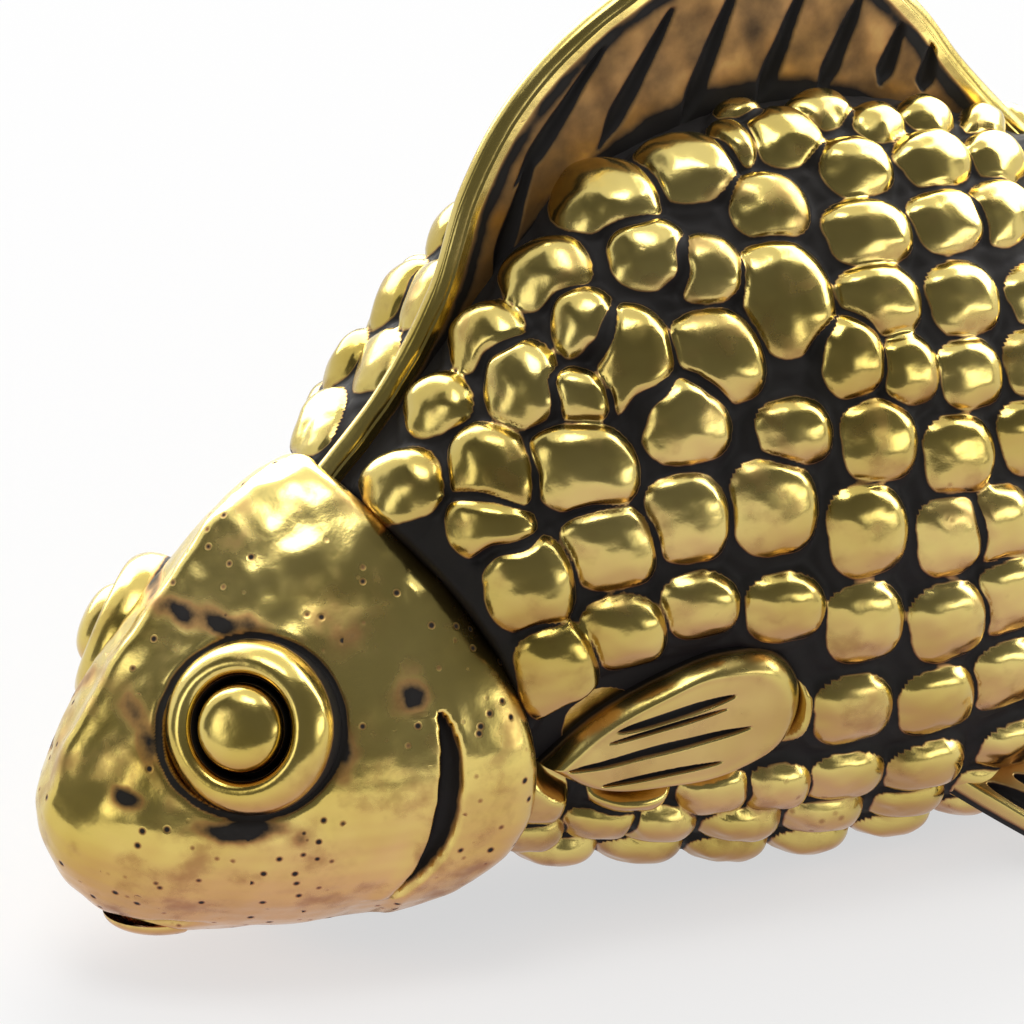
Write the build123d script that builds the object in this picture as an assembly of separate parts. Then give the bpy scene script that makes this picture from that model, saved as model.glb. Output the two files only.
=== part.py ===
from build123d import *
import os
from math import cos, hypot, radians, sin

os.makedirs("parts", exist_ok=True)

# A small cast fish, built with the tip of its snout at x 0, its tail toward +X and its left flank toward -Y.
# Every length is in millimetres. Shares and angles carry no length.

# The fits.
slide_clearance = 0.04
cut_overrun = 1.0
unit_radius = 1

# The scaled body: places along it, then its ridge, its belly and half its width there.
body_places = (8.6, 10.5, 12.7, 14.6, 16.5, 19.5, 23.5, 28.0, 33.0, 38.0, 43.0, 47.0, 50.0, 52.0, 53.2)
ridge_heights = (14.4, 16.1, 18.3, 20.5, 22.7, 25.4, 26.9, 27.1, 26.0, 23.4, 19.8, 16.9, 15.2, 14.1, 13.2)
belly_heights = (4.4, 3.6, 3.0, 2.6, 2.2, 1.6, 0.85, 0.55, 0.65, 1.7, 3.9, 6.3, 8.0, 9.2, 10.2)
half_widths = (4.6, 5.4, 6.2, 6.8, 7.2, 7.9, 8.4, 8.6, 8.2, 7.2, 5.6, 4.2, 3.2, 2.1, 1.1)
front_shoulder_power = 2.7
rear_shoulder_power = 2.0
shoulder_end_place = 21.0
belly_power = 2.0
section_angle_step = 15

# The rows of scales: the angle of each row round the flank at the head, and from the middle on.
row_front_angles = (-63, -49, -36, -22, -6, 11, 28, 41, 53, 64, 74)
row_rear_angles = (-72, -59, -46, -30, -14, 0, 13, 25, 37, 49, 62)
row_front_place = 14.0
row_level_place = 28.0
row_end_place = 46.0
scale_pitch = 3.1
scale_pitch_share_at_tail = 0.72
row_shift_shares = (0.1, 0.6, 0.3, 0.9, 0.2, 0.1, 0.6, 0.2, 0.7, 0.25, 0.75)
scale_front_place = 10.6
scale_length_share = 0.53
scale_height_share = 0.53
scale_radius = 1.25
scale_rise = 0.8
scale_lift_angle = 11
crown_row_angle = 75
crown_row_front_place = 12.0
crown_row_end_place = 37.5
crown_pitch = 2.6
crown_scale_half_height = 1.15

# The keel pad, flat on the ground.
keel_pad_front_place = 22.0
keel_pad_rear_place = 34.0
keel_pad_half_width = 1.3
keel_pad_height = 1.6

# The head: heights of its level slices, the snout line and half the width on each.
slice_heights = (1.7, 2.2, 3.0, 4.3, 5.9, 8.0, 10.5, 12.8, 14.5, 15.7, 16.5, 17.05, 17.4)
snout_places = (3.7, 2.5, 1.45, 0.5, 0.0, 0.75, 2.25, 4.1, 5.45, 6.4, 7.2, 8.1, 9.2)
cheek_half_widths = (2.9, 4.0, 5.15, 6.35, 7.1, 7.5, 7.0, 5.8, 4.65, 3.65, 2.85, 2.15, 1.5)
head_rear_place = 14.7

# The seam between head and body, seen from the side.
seam_places = (9.2, 9.9, 11.5, 13.1, 14.2, 14.6, 14.6, 13.7, 12.3, 10.0, 9.0)
seam_heights = (18.6, 17.4, 15.5, 13.0, 10.4, 8.0, 5.6, 3.7, 2.5, 1.8, 1.5)
seam_half_width = 12.0
seam_front_place = -3.0

# The neck tenon of the body in the bore of the head.
tenon_radius = 2.4
tenon_front_place = 9.6
tenon_root_place = 15.6
tenon_height = 9.6

# The gill slits.
slit_top_place = 11.15
slit_top_height = 11.3
slit_front_place = 11.1
slit_rear_place = 11.75
slit_middle_height = 7.6
slit_end_place = 10.3
slit_end_height = 3.5
slit_depth = 0.65

# The mouth and its lower lip.
mouth_height = 2.2
mouth_slit_height = 0.28
mouth_slit_depth = 0.9
mouth_half_width = 2.3
lip_root_place = 4.4
lip_half_width = 1.9
lip_reach = 2.3
lip_drop = 0.9

# The eyes, turned forward and up. The places belong to the left eye, on the -Y side.
eye_place = 5.4
eye_offset = 4.4
eye_height = 10.2
eye_forward_angle = 49
eye_upward_angle = 20
eye_pocket_radius = 3.1
eye_pocket_depth = 1.3
eye_ring_radius = 2.95
eye_ring_hole_radius = 1.9
eye_ring_height = 2.35
eye_ring_outer_round = 0.75
eye_ring_inner_round = 0.2
pupil_radius = 1.5
pupil_side_height = 2.0
pupil_dome_rise = 1.0
pupil_stem_radius = 0.6
pupil_stem_length = 1.2
pupil_bore_length = 1.35

# The dorsal fin: its outline over the back from front to rear, then its tang inside the body.
dorsal_outline_places = (10.35, 12.9, 15.0, 16.2, 17.5, 19.6, 22.0, 26.0, 29.8, 32.9, 34.4, 35.8, 37.6)
dorsal_outline_heights = (16.3, 19.0, 22.4, 25.8, 28.0, 30.1, 31.6, 32.9, 31.9, 29.0, 26.9, 25.2, 23.2)
dorsal_tang_places = (35.0, 30.0, 25.0, 19.0, 15.5, 12.2)
dorsal_tang_heights = (22.8, 24.6, 25.0, 23.4, 19.4, 15.8)
dorsal_web = 0.9
dorsal_rim_radius = 0.5
dorsal_groove_foot_places = (18.6, 21.6, 24.5, 27.3, 29.6, 31.7, 33.2)
dorsal_groove_foot_heights = (27.3, 28.1, 28.4, 28.4, 28.1, 27.6, 26.9)
dorsal_groove_tip_places = (20.9, 23.5, 26.0, 28.6, 30.7, 32.3, 33.5)
dorsal_groove_tip_heights = (30.3, 31.2, 31.7, 31.2, 30.3, 29.0, 28.0)
groove_half_width = 0.36
bevel_share = 0.85
groove_depth = 0.3

# The tail fin.
tail_outline_places = (
    (47.6, 50.4, 53.6, 57.2, 60.0, 61.3, 60.9, 59.6, 58.7, 58.5)
    + (58.8, 60.0, 60.9, 60.5, 58.6, 55.4, 52.6, 50.0, 47.6)
)
tail_outline_heights = (
    (13.6, 15.1, 18.6, 22.0, 23.5, 22.3, 19.4, 16.2, 13.2, 11.6)
    + (9.8, 6.6, 3.4, 1.7, 1.2, 2.9, 5.8, 8.4, 9.6)
)
tail_tang_place = 45.2
tail_web = 1.0
tail_rim_radius = 0.55
tail_groove_foot_places = (53.6, 53.9, 54.0, 53.9, 53.6)
tail_groove_foot_heights = (14.9, 13.2, 11.6, 10.0, 8.4)
tail_groove_tip_places = (58.9, 58.4, 57.4, 58.2, 58.4)
tail_groove_tip_heights = (20.9, 16.4, 11.6, 7.2, 3.4)

# The anal fin.
anal_outline_places = (38.6, 40.4, 42.6, 44.9, 46.2, 46.3, 46.2)
anal_outline_heights = (2.9, 1.6, 0.75, 0.75, 1.9, 4.2, 7.3)
anal_tang_places = (44.5, 41.0)
anal_tang_heights = (8.0, 5.4)
anal_web = 0.8
anal_rim_radius = 0.4
anal_groove_foot_places = (41.8, 43.6)
anal_groove_foot_heights = (2.5, 3.4)
anal_groove_tip_places = (42.9, 44.9)
anal_groove_tip_heights = (1.4, 1.7)

# The pectoral fins, each in a flat seat on its flank. The outline runs along X and up Y from the seat centre.
pectoral_place = 19.6
pectoral_offset = 6.75
pectoral_height = 8.5
pectoral_forward_angle = 8
pectoral_downward_angle = 15
pectoral_rise_angle = 4
pectoral_outline_alongs = (-4.3, -2.6, -0.2, 2.0, 3.6, 4.3, 3.9, 2.4, 0.2, -2.6)
pectoral_outline_ups = (-0.45, 0.95, 2.1, 2.6, 2.1, 0.4, -1.2, -2.2, -2.3, -1.6)
pectoral_edge_height = 1.3
pectoral_bevel_height = 0.55
pectoral_groove_starts = (-2.2, -3.3, -2.2)
pectoral_groove_ends = (1.6, 2.4, 1.6)
pectoral_groove_ups = (0.85, -0.35, -1.35)
pectoral_groove_end_ups = (1.35, 0.1, -1.3)
pectoral_peg_radius = 0.8
pectoral_peg_length = 2.0
pectoral_hole_length = 2.2
pectoral_seat_reach = 6.0
seat_margin_share = 1.12

# The pelvic fins, splayed down to the ground behind the belly.
pelvic_place = 32.6
pelvic_offset = 4.6
pelvic_height = 2.9
pelvic_turn_angle = 42
pelvic_dip_angle = 19
pelvic_roll_angle = 38
pelvic_outline_alongs = (-0.6, 1.4, 4.2, 6.9, 8.1, 7.9, 6.6, 4.2, 1.6, -0.4)
pelvic_outline_ups = (-0.75, -1.05, -1.35, -1.45, -0.7, 0.9, 2.5, 2.6, 1.6, 0.8)
pelvic_pocket_alongs = (-0.9, 4.6, 4.6, -0.9)
pelvic_pocket_ups = (-0.95, -1.5, 2.85, 0.95)
pelvic_web = 1.0
pelvic_bevel_height = 0.35
pelvic_groove_starts = (0.9, 1.6, 2.2)
pelvic_groove_ends = (6.9, 7.0, 6.2)
pelvic_groove_ups = (-0.35, 0.3, 0.95)
pelvic_groove_end_ups = (-0.65, 0.55, 1.65)
pelvic_peg_radius = 0.7
pelvic_peg_length = 2.4
pelvic_hole_length = 2.6


def along(place, places, values):
    """The value at a place, on the straight line between its two neighbours."""
    if place <= places[0]:
        return values[0]
    for start in range(len(places) - 1):
        if place <= places[start + 1]:
            share = (place - places[start]) / (places[start + 1] - places[start])
            return values[start] + share * (values[start + 1] - values[start])
    return values[-1]


def shoulder_power(place):
    """How square the shoulders are at a place."""
    return along(place, (body_places[0], shoulder_end_place), (front_shoulder_power, rear_shoulder_power))


def flank_point(place, angle):
    """The point of the left flank at a place, an angle of 90 being the ridge and -90 the belly."""
    ridge = along(place, body_places, ridge_heights)
    belly = along(place, body_places, belly_heights)
    half_width = along(place, body_places, half_widths)
    power = shoulder_power(place) if angle > 0 else belly_power
    out = abs(cos(radians(angle))) ** (2 / power) * half_width
    rise = abs(sin(radians(angle))) ** (2 / power) * (ridge - belly) / 2
    middle = (ridge + belly) / 2
    return Vector(place, -out, middle + rise if angle > 0 else middle - rise)


def closed_face(*lines):
    """The flat face inside lines that meet end to end."""
    edges = [edge for line in lines for edge in line.edges()]
    return Face(Wire(edges))


def body_section(place):
    """The closed cross-section of the body at a place."""
    left = [flank_point(place, angle) for angle in range(-90, 91, section_angle_step)]
    right = [Vector(point.X, -point.Y, point.Z) for point in reversed(left[1:-1])]
    return closed_face(Spline(*left, *right, periodic=True))


def zone_ahead():
    """Everything ahead of the seam between head and body, as one block."""
    seam = Spline(*[(x, z) for x, z in zip(seam_places, seam_heights)])
    top = seam_heights[0]
    bottom = seam_heights[-1]
    front = Polyline(
        (seam_places[-1], bottom),
        (seam_places[-1], bottom - seam_half_width),
        (seam_front_place, bottom - seam_half_width),
        (seam_front_place, top + seam_half_width),
        (seam_places[0], top + seam_half_width),
        (seam_places[0], top),
    )
    face = Plane.XZ * closed_face(seam, front)
    return extrude(face, seam_half_width, both=True)


def scale_dome(place, angle, half_length, half_height):
    """One scale, an ellipsoid sunk in the flank with its rear edge lifted."""
    step = half_length / 2
    here = flank_point(place, angle)
    rearward = (flank_point(place + step, angle) - flank_point(place - step, angle)).normalized()
    upward = (flank_point(place, angle + 1) - flank_point(place, angle - 1)).normalized()
    outward = upward.cross(rearward).normalized()
    if outward.Y > 0:
        outward = -outward
    lean = radians(scale_lift_angle)
    normal = outward * cos(lean) - rearward * sin(lean)
    centre = here - outward * (scale_radius - scale_rise)
    dome = scale(Sphere(unit_radius), by=(half_length, half_height, scale_radius))
    return Plane(origin=centre, x_dir=rearward + outward * sin(lean), z_dir=normal) * dome


def row_angle(front_angle, rear_angle, place):
    """The angle of a row at a place: sloping behind the head, level from the middle on."""
    return along(place, (row_front_place, row_level_place), (front_angle, rear_angle))


def scale_half_height(lower_angle, upper_angle, place):
    """Half the height of a scale between the rows below and above it."""
    reach = flank_point(place, upper_angle) - flank_point(place, lower_angle)
    return hypot(reach.Y, reach.Z) / 2 * scale_height_share


def scale_domes():
    """All the scales of the left flank, row by row from the belly up, then the crown row beside the fin."""
    domes = []
    rows = list(zip(row_front_angles, row_rear_angles, row_shift_shares))
    for number, (front_angle, rear_angle, shift_share) in enumerate(rows):
        below = rows[max(number - 1, 0)]
        above = rows[min(number + 1, len(rows) - 1)]
        place = scale_front_place + shift_share * scale_pitch
        while place < row_end_place:
            angle = row_angle(front_angle, rear_angle, place)
            lower = row_angle(below[0], below[1], place)
            upper = row_angle(above[0], above[1], place)
            if below == rows[number]:
                lower = 2 * angle - upper
            if above == rows[number]:
                upper = 2 * angle - lower
            pitch_share = along(place, (row_level_place, row_end_place), (1, scale_pitch_share_at_tail))
            pitch = scale_pitch * pitch_share
            half_height = scale_half_height(lower, upper, place)
            domes.append(scale_dome(place, angle, pitch * scale_length_share, half_height))
            place += pitch
    place = crown_row_front_place
    while place < crown_row_end_place:
        crown_half_length = crown_pitch * scale_length_share
        domes.append(scale_dome(place, crown_row_angle, crown_half_length, crown_scale_half_height))
        place += crown_pitch
    return domes


def outline_face(places, heights, closing):
    """A face in the XZ plane inside an outline and the straight lines that close it."""
    outline = Spline(*zip(places, heights))
    rest = Polyline((places[-1], heights[-1]), *closing, (places[0], heights[0]))
    return Plane.XZ * closed_face(outline, rest)


def outline_rim(places, heights, radius):
    """A round rim along an outline in the XZ plane."""
    path = Plane.XZ * Spline(*zip(places, heights))
    start = Plane(origin=path @ 0, z_dir=path % 0)
    return sweep(start * Circle(radius), path=path)


def needle(start, end, half_width, depth):
    """A groove cutter, an ellipsoid stretched from start to end whose shallow axis is Z."""
    middle = (Vector(start) + Vector(end)) * 0.5
    run = Vector(end) - Vector(start)
    cutter = scale(Sphere(unit_radius), by=(run.length / 2, half_width, depth))
    return Plane(origin=middle, x_dir=run, z_dir=(0, 0, 1)) * cutter


def web_grooves(web, foot_places, foot_heights, tip_places, tip_heights):
    """Groove cutters on both faces of an upright web."""
    cutters = []
    for foot_x, foot_z, tip_x, tip_z in zip(foot_places, foot_heights, tip_places, tip_heights):
        flat = needle((foot_x, foot_z, 0), (tip_x, tip_z, 0), groove_half_width, groove_depth)
        cutters.append(Pos(0, -web / 2, 0) * Rot(X=90) * flat)
        cutters.append(Pos(0, web / 2, 0) * Rot(X=90) * flat)
    return cutters


def upright_fin(places, heights, closing, web, rim_radius, grow):
    """A web with a round rim, standing in the XZ plane. Grow makes the cutter for its slot."""
    face = outline_face(places, heights, closing)
    plate = extrude(face, web / 2 + grow, both=True)
    return plate + outline_rim(places, heights, rim_radius + grow)


def flat_fin(alongs, ups, thickness, bevel_height):
    """A fin lying on the XY plane, its upper edge bevelled toward its middle."""
    middle_along = sum(alongs) / len(alongs)
    middle_up = sum(ups) / len(ups)
    top_alongs = [middle_along + (value - middle_along) * bevel_share for value in alongs]
    top_ups = [middle_up + (value - middle_up) * bevel_share for value in ups]
    outline = closed_face(Spline(*zip(alongs, ups), periodic=True))
    top_outline = closed_face(Spline(*zip(top_alongs, top_ups), periodic=True))
    shoulder = Pos(0, 0, thickness - bevel_height) * outline
    return loft([outline, shoulder, Pos(0, 0, thickness) * top_outline], ruled=True)


def fin_grooves(starts, start_ups, ends, end_ups, level):
    """Groove cutters on a level face."""
    cutters = []
    for start, start_up, end, end_up in zip(starts, start_ups, ends, end_ups):
        foot = (start, start_up, level)
        tip = (end, end_up, level)
        cutters.append(needle(foot, tip, groove_half_width, groove_depth))
    return cutters


def head_loft(inset):
    """The head without its details, its cheeks drawn in by the inset."""
    slices = []
    for height, snout, half_width in zip(slice_heights, snout_places, cheek_half_widths):
        reach = head_rear_place - snout - inset
        width = half_width - inset
        arc = EllipticalCenterArc((head_rear_place, 0), reach, width, start_angle=90, arc_size=180)
        slices.append(Plane.XY.offset(height) * closed_face(arc, Line(arc @ 1, arc @ 0)))
    return loft(slices)


def eye_plane(side):
    """The floor of an eye pocket, its Z axis pointing out of the head. Side -1 is the left eye."""
    forward = radians(eye_forward_angle)
    upward = radians(eye_upward_angle)
    axis = Vector(-sin(forward) * cos(upward), side * cos(forward) * cos(upward), sin(upward))
    middle = Vector(eye_place, side * eye_offset, eye_height)
    return Plane(origin=middle - axis * eye_pocket_depth, z_dir=axis)


def eye_ring():
    """The raised ring of an eye, standing on the pocket floor."""
    outer = Cylinder(eye_ring_radius, eye_ring_height, align=(Align.CENTER, Align.CENTER, Align.MIN))
    hole = Cylinder(eye_ring_hole_radius, eye_ring_height, align=(Align.CENTER, Align.CENTER, Align.MIN))
    ring = outer - hole
    top_edges = ring.edges().group_by(Axis.Z)[-1].sort_by(SortBy.LENGTH)
    ring = fillet(top_edges[-1], eye_ring_outer_round)
    top_edges = ring.edges().group_by(Axis.Z)[-1].sort_by(SortBy.LENGTH)
    return fillet(top_edges[0], eye_ring_inner_round)


def eye_pupil():
    """The domed pupil with its stem below the pocket floor."""
    side = Cylinder(pupil_radius, pupil_side_height, align=(Align.CENTER, Align.CENTER, Align.MIN))
    dome = scale(Sphere(unit_radius), by=(pupil_radius, pupil_radius, pupil_dome_rise))
    stem = Cylinder(pupil_stem_radius, pupil_stem_length, align=(Align.CENTER, Align.CENTER, Align.MAX))
    return side + Pos(0, 0, pupil_side_height) * dome + stem


def pectoral_plane():
    """The seat of the left pectoral fin, its Z axis pointing out of the flank."""
    place = Pos(pectoral_place, -pectoral_offset, pectoral_height)
    turn = Rot(Z=-pectoral_forward_angle) * Rot(X=90 + pectoral_downward_angle) * Rot(Z=pectoral_rise_angle)
    return Plane(place * turn)


def pelvic_plane():
    """The lower face of the left pelvic fin, its X axis running out, back and down from the belly."""
    place = Pos(pelvic_place, -pelvic_offset, pelvic_height)
    turn = Rot(Z=-pelvic_turn_angle) * Rot(Y=pelvic_dip_angle) * Rot(X=pelvic_roll_angle)
    return Plane(place * turn)


# The outer forms of body and head.
ahead = zone_ahead()
body_solid = loft([body_section(place) for place in body_places])
block_length = 2 * body_places[-1] + cut_overrun
block_height = 2 * dorsal_outline_heights[7]
left_block = Pos(0, -seam_half_width / 2, 0) * Box(2 * block_length, seam_half_width, 2 * block_height)
below_ground = Pos(0, 0, -block_height) * Box(2 * block_length, 4 * seam_half_width, 2 * block_height)
print("body loft", round(body_solid.volume), "mm3")

# The left half of the body with its scales and its half of the tenon.
left_half = (body_solid & left_block).solid()
domes = scale_domes()
print("scales on one flank", len(domes))
left_half = left_half.fuse(*domes)
tenon_length = tenon_root_place - tenon_front_place
tenon = Cylinder(tenon_radius, tenon_length, align=(Align.CENTER, Align.CENTER, Align.MIN))
tenon = Pos(tenon_front_place, 0, tenon_height) * Rot(Y=90) * tenon
keel_pad = Pos(keel_pad_front_place, 0, 0) * Box(
    keel_pad_rear_place - keel_pad_front_place,
    2 * keel_pad_half_width,
    keel_pad_height,
    align=(Align.MIN, Align.CENTER, Align.MIN),
)
left_half = left_half - ahead + tenon + keel_pad
left_half = left_half & left_block
left_half = left_half - below_ground

# The fins on the middle plane, and the slots for their tangs.
dorsal_closing = list(zip(dorsal_tang_places, dorsal_tang_heights))
dorsal_args = (dorsal_outline_places, dorsal_outline_heights, dorsal_closing, dorsal_web, dorsal_rim_radius)
dorsal_fin = upright_fin(*dorsal_args, 0) - ahead
dorsal_fin = dorsal_fin - web_grooves(
    dorsal_web,
    dorsal_groove_foot_places,
    dorsal_groove_foot_heights,
    dorsal_groove_tip_places,
    dorsal_groove_tip_heights,
)
tail_closing = [(tail_tang_place, tail_outline_heights[-1]), (tail_tang_place, tail_outline_heights[0])]
tail_args = (tail_outline_places, tail_outline_heights, tail_closing, tail_web, tail_rim_radius)
tail_fin = upright_fin(*tail_args, 0)
tail_fin = tail_fin - web_grooves(
    tail_web,
    tail_groove_foot_places,
    tail_groove_foot_heights,
    tail_groove_tip_places,
    tail_groove_tip_heights,
)
anal_closing = list(zip(anal_tang_places, anal_tang_heights))
anal_args = (anal_outline_places, anal_outline_heights, anal_closing, anal_web, anal_rim_radius)
anal_fin = upright_fin(*anal_args, 0)
anal_fin = anal_fin - web_grooves(
    anal_web,
    anal_groove_foot_places,
    anal_groove_foot_heights,
    anal_groove_tip_places,
    anal_groove_tip_heights,
)
for fin_args in (dorsal_args, tail_args, anal_args):
    left_half = left_half - upright_fin(*fin_args, slide_clearance)
print("upright fins", round(dorsal_fin.volume), round(tail_fin.volume), round(anal_fin.volume), "mm3")

# The left pectoral fin in its seat.
seat = pectoral_plane()
pectoral = flat_fin(
    pectoral_outline_alongs, pectoral_outline_ups, pectoral_edge_height, pectoral_bevel_height
)
pectoral = pectoral - fin_grooves(
    pectoral_groove_starts,
    pectoral_groove_ups,
    pectoral_groove_ends,
    pectoral_groove_end_ups,
    pectoral_edge_height,
)
pectoral_peg = Cylinder(
    pectoral_peg_radius, pectoral_peg_length, align=(Align.CENTER, Align.CENTER, Align.MAX)
)
pectoral_fin_left = seat * (pectoral + pectoral_peg)
seat_corners = [
    (seat_margin_share * corner_along, seat_margin_share * corner_up)
    for corner_along, corner_up in zip(pectoral_outline_alongs, pectoral_outline_ups)
]
seat_cut = extrude(closed_face(Polyline(*seat_corners, close=True)), pectoral_seat_reach, dir=(0, 0, 1))
peg_hole = Cylinder(
    pectoral_peg_radius + slide_clearance, pectoral_hole_length, align=(Align.CENTER, Align.CENTER, Align.MAX)
)
left_half = left_half - seat * (seat_cut + peg_hole)

# The left pelvic fin in its pocket.
splay = pelvic_plane()
pelvic = flat_fin(pelvic_outline_alongs, pelvic_outline_ups, pelvic_web, pelvic_bevel_height)
pelvic = pelvic - fin_grooves(
    pelvic_groove_starts,
    pelvic_groove_ups,
    pelvic_groove_ends,
    pelvic_groove_end_ups,
    pelvic_web,
)
pelvic_axis = Pos(0, 0, pelvic_web / 2) * Rot(Y=-90)
pelvic_peg = pelvic_axis * Cylinder(
    pelvic_peg_radius, pelvic_peg_length, align=(Align.CENTER, Align.CENTER, Align.MIN)
)
pelvic_fin_left = splay * (pelvic + pelvic_peg) - below_ground
pelvic_pocket = closed_face(Polyline(*zip(pelvic_pocket_alongs, pelvic_pocket_ups), close=True))
pelvic_cut = extrude(pelvic_pocket, pelvic_web + 2 * slide_clearance, dir=(0, 0, 1))
pelvic_hole = pelvic_axis * Cylinder(
    pelvic_peg_radius + slide_clearance, pelvic_hole_length, align=(Align.CENTER, Align.CENTER, Align.MIN)
)
left_half = left_half - splay * (Pos(0, 0, -slide_clearance) * pelvic_cut + pelvic_hole)
print("left half", round(left_half.volume), "mm3", len(left_half.solids()), "solids")

# The head with its gill slits, mouth, eye pockets and tenon bore.
head = head_loft(0) & ahead
slit_top = (slit_top_place, slit_top_height)
slit_end = (slit_end_place, slit_end_height)
slit_front = ThreePointArc(slit_top, (slit_front_place, slit_middle_height), slit_end)
slit_rear = ThreePointArc(slit_end, (slit_rear_place, slit_middle_height), slit_top)
slit_prism = extrude(Plane.XZ * closed_face(slit_front, slit_rear), seam_half_width, both=True)
head = head - (slit_prism - head_loft(slit_depth))
mouth_slab = Pos(0, 0, mouth_height) * Box(
    head_rear_place,
    2 * mouth_half_width,
    mouth_slit_height,
    align=(Align.CENTER, Align.CENTER, Align.MIN),
)
head = head - (mouth_slab - head_loft(mouth_slit_depth))
lip_front = Pos(lip_root_place, 0, mouth_height) * Box(
    head_rear_place,
    2 * seam_half_width,
    mouth_height + cut_overrun,
    align=(Align.MAX, Align.CENTER, Align.MAX),
)
lip_form = scale(Sphere(unit_radius), by=(lip_reach, lip_half_width, lip_drop))
lower_lip = (Pos(lip_root_place, 0, mouth_height) * lip_form) & lip_front
lip_pocket_form = scale(
    Sphere(unit_radius),
    by=(lip_reach + slide_clearance, lip_half_width + slide_clearance, lip_drop + slide_clearance),
)
head = head - ((Pos(lip_root_place, 0, mouth_height) * lip_pocket_form) & lip_front)
bore_length = tenon_root_place - tenon_front_place + slide_clearance
bore = Cylinder(tenon_radius + slide_clearance, bore_length, align=(Align.CENTER, Align.CENTER, Align.MIN))
head = head - Pos(tenon_front_place - slide_clearance, 0, tenon_height) * Rot(Y=90) * bore
pocket = Cylinder(eye_pocket_radius, 2 * eye_ring_height, align=(Align.CENTER, Align.CENTER, Align.MIN))
stem_bore = Cylinder(
    pupil_stem_radius + slide_clearance, pupil_bore_length, align=(Align.CENTER, Align.CENTER, Align.MAX)
)
for side in (-1, 1):
    head = head - eye_plane(side) * (pocket + stem_bore)
print("head", round(head.volume), "mm3", len(head.solids()), "solids")

# Every piece under its node name, the right side mirrored from the left.
nodes = {
    "body_left_shell": left_half,
    "body_right_shell": mirror(left_half, Plane.XZ),
    "head": head,
    "lower_lip": lower_lip,
    "eye_ring_left": eye_plane(-1) * eye_ring(),
    "eye_ring_right": eye_plane(1) * eye_ring(),
    "eye_pupil_left": eye_plane(-1) * eye_pupil(),
    "eye_pupil_right": eye_plane(1) * eye_pupil(),
    "dorsal_fin": dorsal_fin,
    "pectoral_fin_left": pectoral_fin_left,
    "pectoral_fin_right": mirror(pectoral_fin_left, Plane.XZ),
    "pelvic_fin_left": pelvic_fin_left,
    "pelvic_fin_right": mirror(pelvic_fin_left, Plane.XZ),
    "anal_fin": anal_fin,
    "tail_fin": tail_fin,
}

# The frame: the origin under the middle of the whole, on the ground.
boxes = [piece.bounding_box() for piece in nodes.values()]
front_end = min(box.min.X for box in boxes)
rear_end = max(box.max.X for box in boxes)
shift = Pos(-(front_end + rear_end) / 2, 0, 0)
print("front", round(front_end, 3), "rear", round(rear_end, 3), "shift", round(shift.position.X, 3))
for name, piece in nodes.items():
    placed = shift * piece
    solids = placed.solids()
    print(name, len(solids), "solids", round(sum(solid.volume for solid in solids), 1), "mm3")
    export_step(placed if len(solids) > 1 else solids[0], "parts/" + name + ".step")
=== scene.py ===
# %% [markdown]
# # A small brass fish
# The object is a cast brass goldfish, about six centimetres long. Its high points are polished and its hollows
# keep a dark patina. The CAD solids give the size and the main shapes. This lesson builds finer surfaces over
# them: puffy scales, a dented head, grooved fins, and a metal that darkens where a polishing cloth can't reach.
# All lengths below are in millimetres from the tip of the snout, and one helper turns them into metres.

import bpy
import numpy as np
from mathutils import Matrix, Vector


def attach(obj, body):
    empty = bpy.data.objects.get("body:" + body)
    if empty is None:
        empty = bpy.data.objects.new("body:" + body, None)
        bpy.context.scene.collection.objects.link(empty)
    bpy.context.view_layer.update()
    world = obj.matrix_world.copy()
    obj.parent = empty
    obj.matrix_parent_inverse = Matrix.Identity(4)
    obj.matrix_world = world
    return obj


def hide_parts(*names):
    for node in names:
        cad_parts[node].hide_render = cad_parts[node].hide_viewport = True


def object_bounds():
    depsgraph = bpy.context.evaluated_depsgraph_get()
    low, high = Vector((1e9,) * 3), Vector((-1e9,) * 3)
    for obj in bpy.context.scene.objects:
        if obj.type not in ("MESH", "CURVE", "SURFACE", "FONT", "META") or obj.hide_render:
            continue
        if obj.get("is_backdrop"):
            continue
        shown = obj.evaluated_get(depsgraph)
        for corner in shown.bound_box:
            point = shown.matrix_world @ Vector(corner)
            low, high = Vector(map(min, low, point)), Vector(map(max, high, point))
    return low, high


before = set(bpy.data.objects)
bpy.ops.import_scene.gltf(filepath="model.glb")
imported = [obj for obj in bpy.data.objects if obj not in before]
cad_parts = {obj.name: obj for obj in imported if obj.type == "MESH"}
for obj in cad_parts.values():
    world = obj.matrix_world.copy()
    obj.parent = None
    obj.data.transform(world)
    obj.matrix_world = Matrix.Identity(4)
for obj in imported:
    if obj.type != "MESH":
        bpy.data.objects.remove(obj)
cad_low, cad_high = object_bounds()
MM = 0.001
SNOUT_X = cad_low.x / MM
print("snout at", round(SNOUT_X, 2), "mm, length", round((cad_high.x - cad_low.x) / MM, 2), "mm")

# %% [markdown]
# The real fish is one casting with hundreds of small lumps. They could be sculpted by hand, but every surface here
# is a grid of points worked out by a formula instead, so that each size can be read and changed. Numpy works on the
# whole grid at once, and a hundred thousand points take a moment. The first helpers turn a grid into a mesh and give
# smooth curves. Each point also keeps two values for the material, which the brass reads near the end.

# %% Grids into meshes
# The range over which a surface turns to face down, where the brass gets a painted reflection of a warm floor.
FACING_DOWN = (-0.25, 0.75)


def grid_quads(rows, cols, wrap=False):
    """Corner numbers of the quads between neighbouring rows and columns; wrap joins the last column to the first."""
    row, col = np.meshgrid(np.arange(rows - 1), np.arange(cols if wrap else cols - 1), indexing="ij")
    near, far, following = row * cols, (row + 1) * cols, (col + 1) % cols
    return np.stack([near + col, near + following, far + following, far + col], -1).reshape(-1, 4)


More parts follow.
